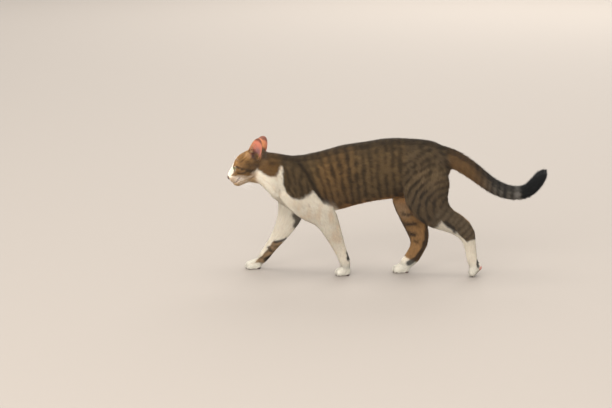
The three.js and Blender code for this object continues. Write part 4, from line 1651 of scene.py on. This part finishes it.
def unwrapped(mine):
    """Places on a flat map for the three corners of each of these triangles of the skin."""
    used, local = np.unique(corners[mine], return_inverse=True)
    mesh = mesh_from("unwrap", points[used], local.reshape(-1, 3))
    mesh.uv_layers.new(name="flat")
    passing = new_object("unwrap", mesh)
    bpy.context.view_layer.objects.active = passing
    passing.select_set(True)
    bpy.ops.object.mode_set(mode="EDIT")
    bpy.ops.mesh.select_all(action="SELECT")
    bpy.ops.uv.smart_project(angle_limit=math.radians(66), island_margin=0.004)
    bpy.ops.object.mode_set(mode="OBJECT")
    flat = np.empty(len(mine) * 6, np.float32)
    mesh.uv_layers["flat"].data.foreach_get("uv", flat)
    bpy.data.objects.remove(passing)
    bpy.data.meshes.remove(mesh)
    return flat.reshape(-1, 3, 2)


flat_maps = {name: unwrapped(mine) for name, mine in pieces.items()}
print("flat maps for", len(flat_maps), "pieces")

# %% [markdown]
# ## Building the coat
# Each spike has three corners at its foot and one at its tip, and four faces close it. Its foot
# starts a little inside the skin, and it is darker there than at its tip. On the flat map it
# gets a tiny patch, where the tuft's root is on the unwrap of the skin.

# %% Build each piece of the coat
PATCH = 0.003
SPIKE_FACES = np.array([(0, 1, 3), (1, 2, 3), (2, 0, 3), (0, 2, 1)])
SPIKE_PATCH = np.array([(0, 0), (1, 0), (0.5, 0.2), (0.5, 1)])  # corners on the patch
RIDGE = 0.45  # how high the foot's third corner stands, as a share of the tuft's width
FOOT_SINK = 0.3
FLOOR_GAP = 0.1


def spike_points(of):
    """Corner places and tones of the tufts with these numbers."""
    across = np.cross(up[of], way[of]) * wide[of, None] / 2
    ridge = up[of] * wide[of, None] * RIDGE
    foot = root[of] + up[of] * ((raised[of] - FOOT_SINK) * MM)[:, None]
    spots = np.stack([foot - across, foot + across, foot + ridge, tip[of]], 1)
    spots[:, :, 2] = np.maximum(spots[:, :, 2], FLOOR_GAP * MM)
    return spots, np.stack([foot_tone[of]] * 3 + [tip_tone[of]], 1)


coat = []
for name, mine in pieces.items():
    place_in_map = np.full(len(corners), -1)
    place_in_map[mine] = np.arange(len(mine))
    ours = np.flatnonzero(place_in_map[triangle] >= 0)
    spots, tones = spike_points(ours)
    faces = SPIKE_FACES + spots.shape[1] * np.arange(len(ours))[:, None, None]
    mesh = mesh_from(name, spots.reshape(-1, 3), faces.reshape(-1, 3))
    in_map = flat_maps[name][place_in_map[triangle[ours]]]
    patch = np.einsum("ij,ijk->ik", share[ours], in_map)
    patch = np.clip(patch[:, None] + (SPIKE_PATCH - 0.5) * PATCH, 0, 1)
    bake = mesh.uv_layers.new(name="OFBake")
    bake.data.foreach_set("uv", patch[:, SPIKE_FACES.ravel()].astype(np.float32).ravel())
    piece = new_object(name, mesh)
    colors = (tuft_color[ours, None] * tones[..., None]).reshape(-1, 3)
    dress(piece, np.clip(colors, 0.002, 0.95), fur)
    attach(piece, "root")
    coat.append(piece)
print("coat of", sum(len(piece.data.polygons) for piece in coat), "triangles in", len(coat), "pieces")

# %% [markdown]
# ## Whiskers
# Whiskers are thick, stiff hairs that stand in rows on the pads beside the nose, with a few
# above each eye. Each is a long cone that bends back and a little down.

# %% Whiskers
WHISKER_FOOT = 0.13
HAIR_TIP = 0.05
WHISKER_BEND = 0.35
WHISKER_LONG, BROW_HAIR_LONG = 34, 20
WHISKER_ROWS = WHISKER_COLUMNS = BROW_HAIRS = 3
WHISKER_COLOR = paint_color(235, 230, 220)


def whisker(foot, heading, length, foot_thick=WHISKER_FOOT):
    """A bent, tapering hair from a place in the head's frame."""
    heading = heading / np.linalg.norm(heading)
    sideways = np.cross(heading, (0, 0, 1))
    upward = np.cross(sideways, heading)

    def bend(u, v):
        turn = 2 * math.pi * u
        thick = foot_thick * (1 - v) ** 0.8 + HAIR_TIP * (v < 0.999)
        thick = thick * (v > 0.001)
        run = length * v
        sag = WHISKER_BEND * run**2 / length
        line = foot + heading * run[:, None] + np.outer(sag, (0.75, 0, -0.6))
        return line + np.outer(thick * np.cos(turn), sideways) + np.outer(thick * np.sin(turn), upward)

    return bent_grid(columns=5, rows=12, bend=bend)


hairs = bmesh.new()
for side in (LEFT, RIGHT):
    for row in range(WHISKER_ROWS):
        for column in range(WHISKER_COLUMNS):
            foot = np.array((-48 + 3.4 * column, side * (14.5 + 0.9 * column), -14.5 - 2.9 * row))
            heading = np.array((0.35 + 0.14 * column, side * (0.72 - 0.05 * row), -0.16 - 0.2 * row))
            heading = heading + rng.normal(0, 0.04, 3)
            one = whisker(foot, heading, WHISKER_LONG + 2.5 * column + 3 * rng.random())
            hairs.from_mesh(head_mesh(one, "hair"))
    for i in range(BROW_HAIRS):
        foot = np.array((-27 + 2.5 * i, side * (16 + 2.5 * i), 11.5 - 0.8 * i))
        heading = np.array((-0.15, side * (0.35 + 0.15 * i), 0.8))
        one = whisker(foot, heading, BROW_HAIR_LONG + 2 * i)
        hairs.from_mesh(head_mesh(one, "hair"))


def hair_piece(hairs, name, color):
    """A painted piece made of many bent hairs."""
    piece = new_object(name, mesh_of(hairs, name))
    dress(piece, np.broadcast_to(color, (len(piece.data.vertices), 3)), bristle)
    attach(piece, "root")
    return piece


whiskers = hair_piece(hairs, "whiskers", WHISKER_COLOR)
print("whiskers of", len(whiskers.data.vertices), "points")

# %% [markdown]
# ## Hairs of the inner ear
# Long pale hairs root along the front edge of the ear and fan back over its opening, where they
# keep dust out. They are made as the whiskers are, only softer and shorter.

# %% Ear hairs
EAR_HAIRS = 60
EAR_HAIR_FOOT = 0.08
EAR_HAIR_COLOR = paint_color(160, 130, 94)

hairs = bmesh.new()
for side in (LEFT, RIGHT):
    root_at, tip_at, along, facing, across = ear_frame(side)
    ahead = -np.sign(across[0])  # the way along `across` that leads to the nose
    for _ in range(EAR_HAIRS):
        v = 0.02 + 0.5 * rng.random() ** 1.6
        rim = ahead * EAR_HALF_WIDTH * float(ear_taper(np.array(v))) * (0.93 - 0.25 * rng.random())
        foot = root_at + (tip_at - root_at) * v + across * rim - facing * 1.5
        foot = foot - np.array((EAR_FOOT_AHEAD * (1 - v), 0, 0))
        heading = along * (0.55 + 0.3 * rng.random()) + facing * (0.35 + 0.3 * rng.random())
        heading = heading - across * ahead * (0.35 + 0.5 * rng.random())
        one = whisker(foot, heading, 7 + 6 * rng.random(), EAR_HAIR_FOOT)
        hairs.from_mesh(head_mesh(one, "hair"))
ear_hairs = hair_piece(hairs, "ear_hairs", EAR_HAIR_COLOR)
print("ear hairs of", len(ear_hairs.data.vertices), "points")
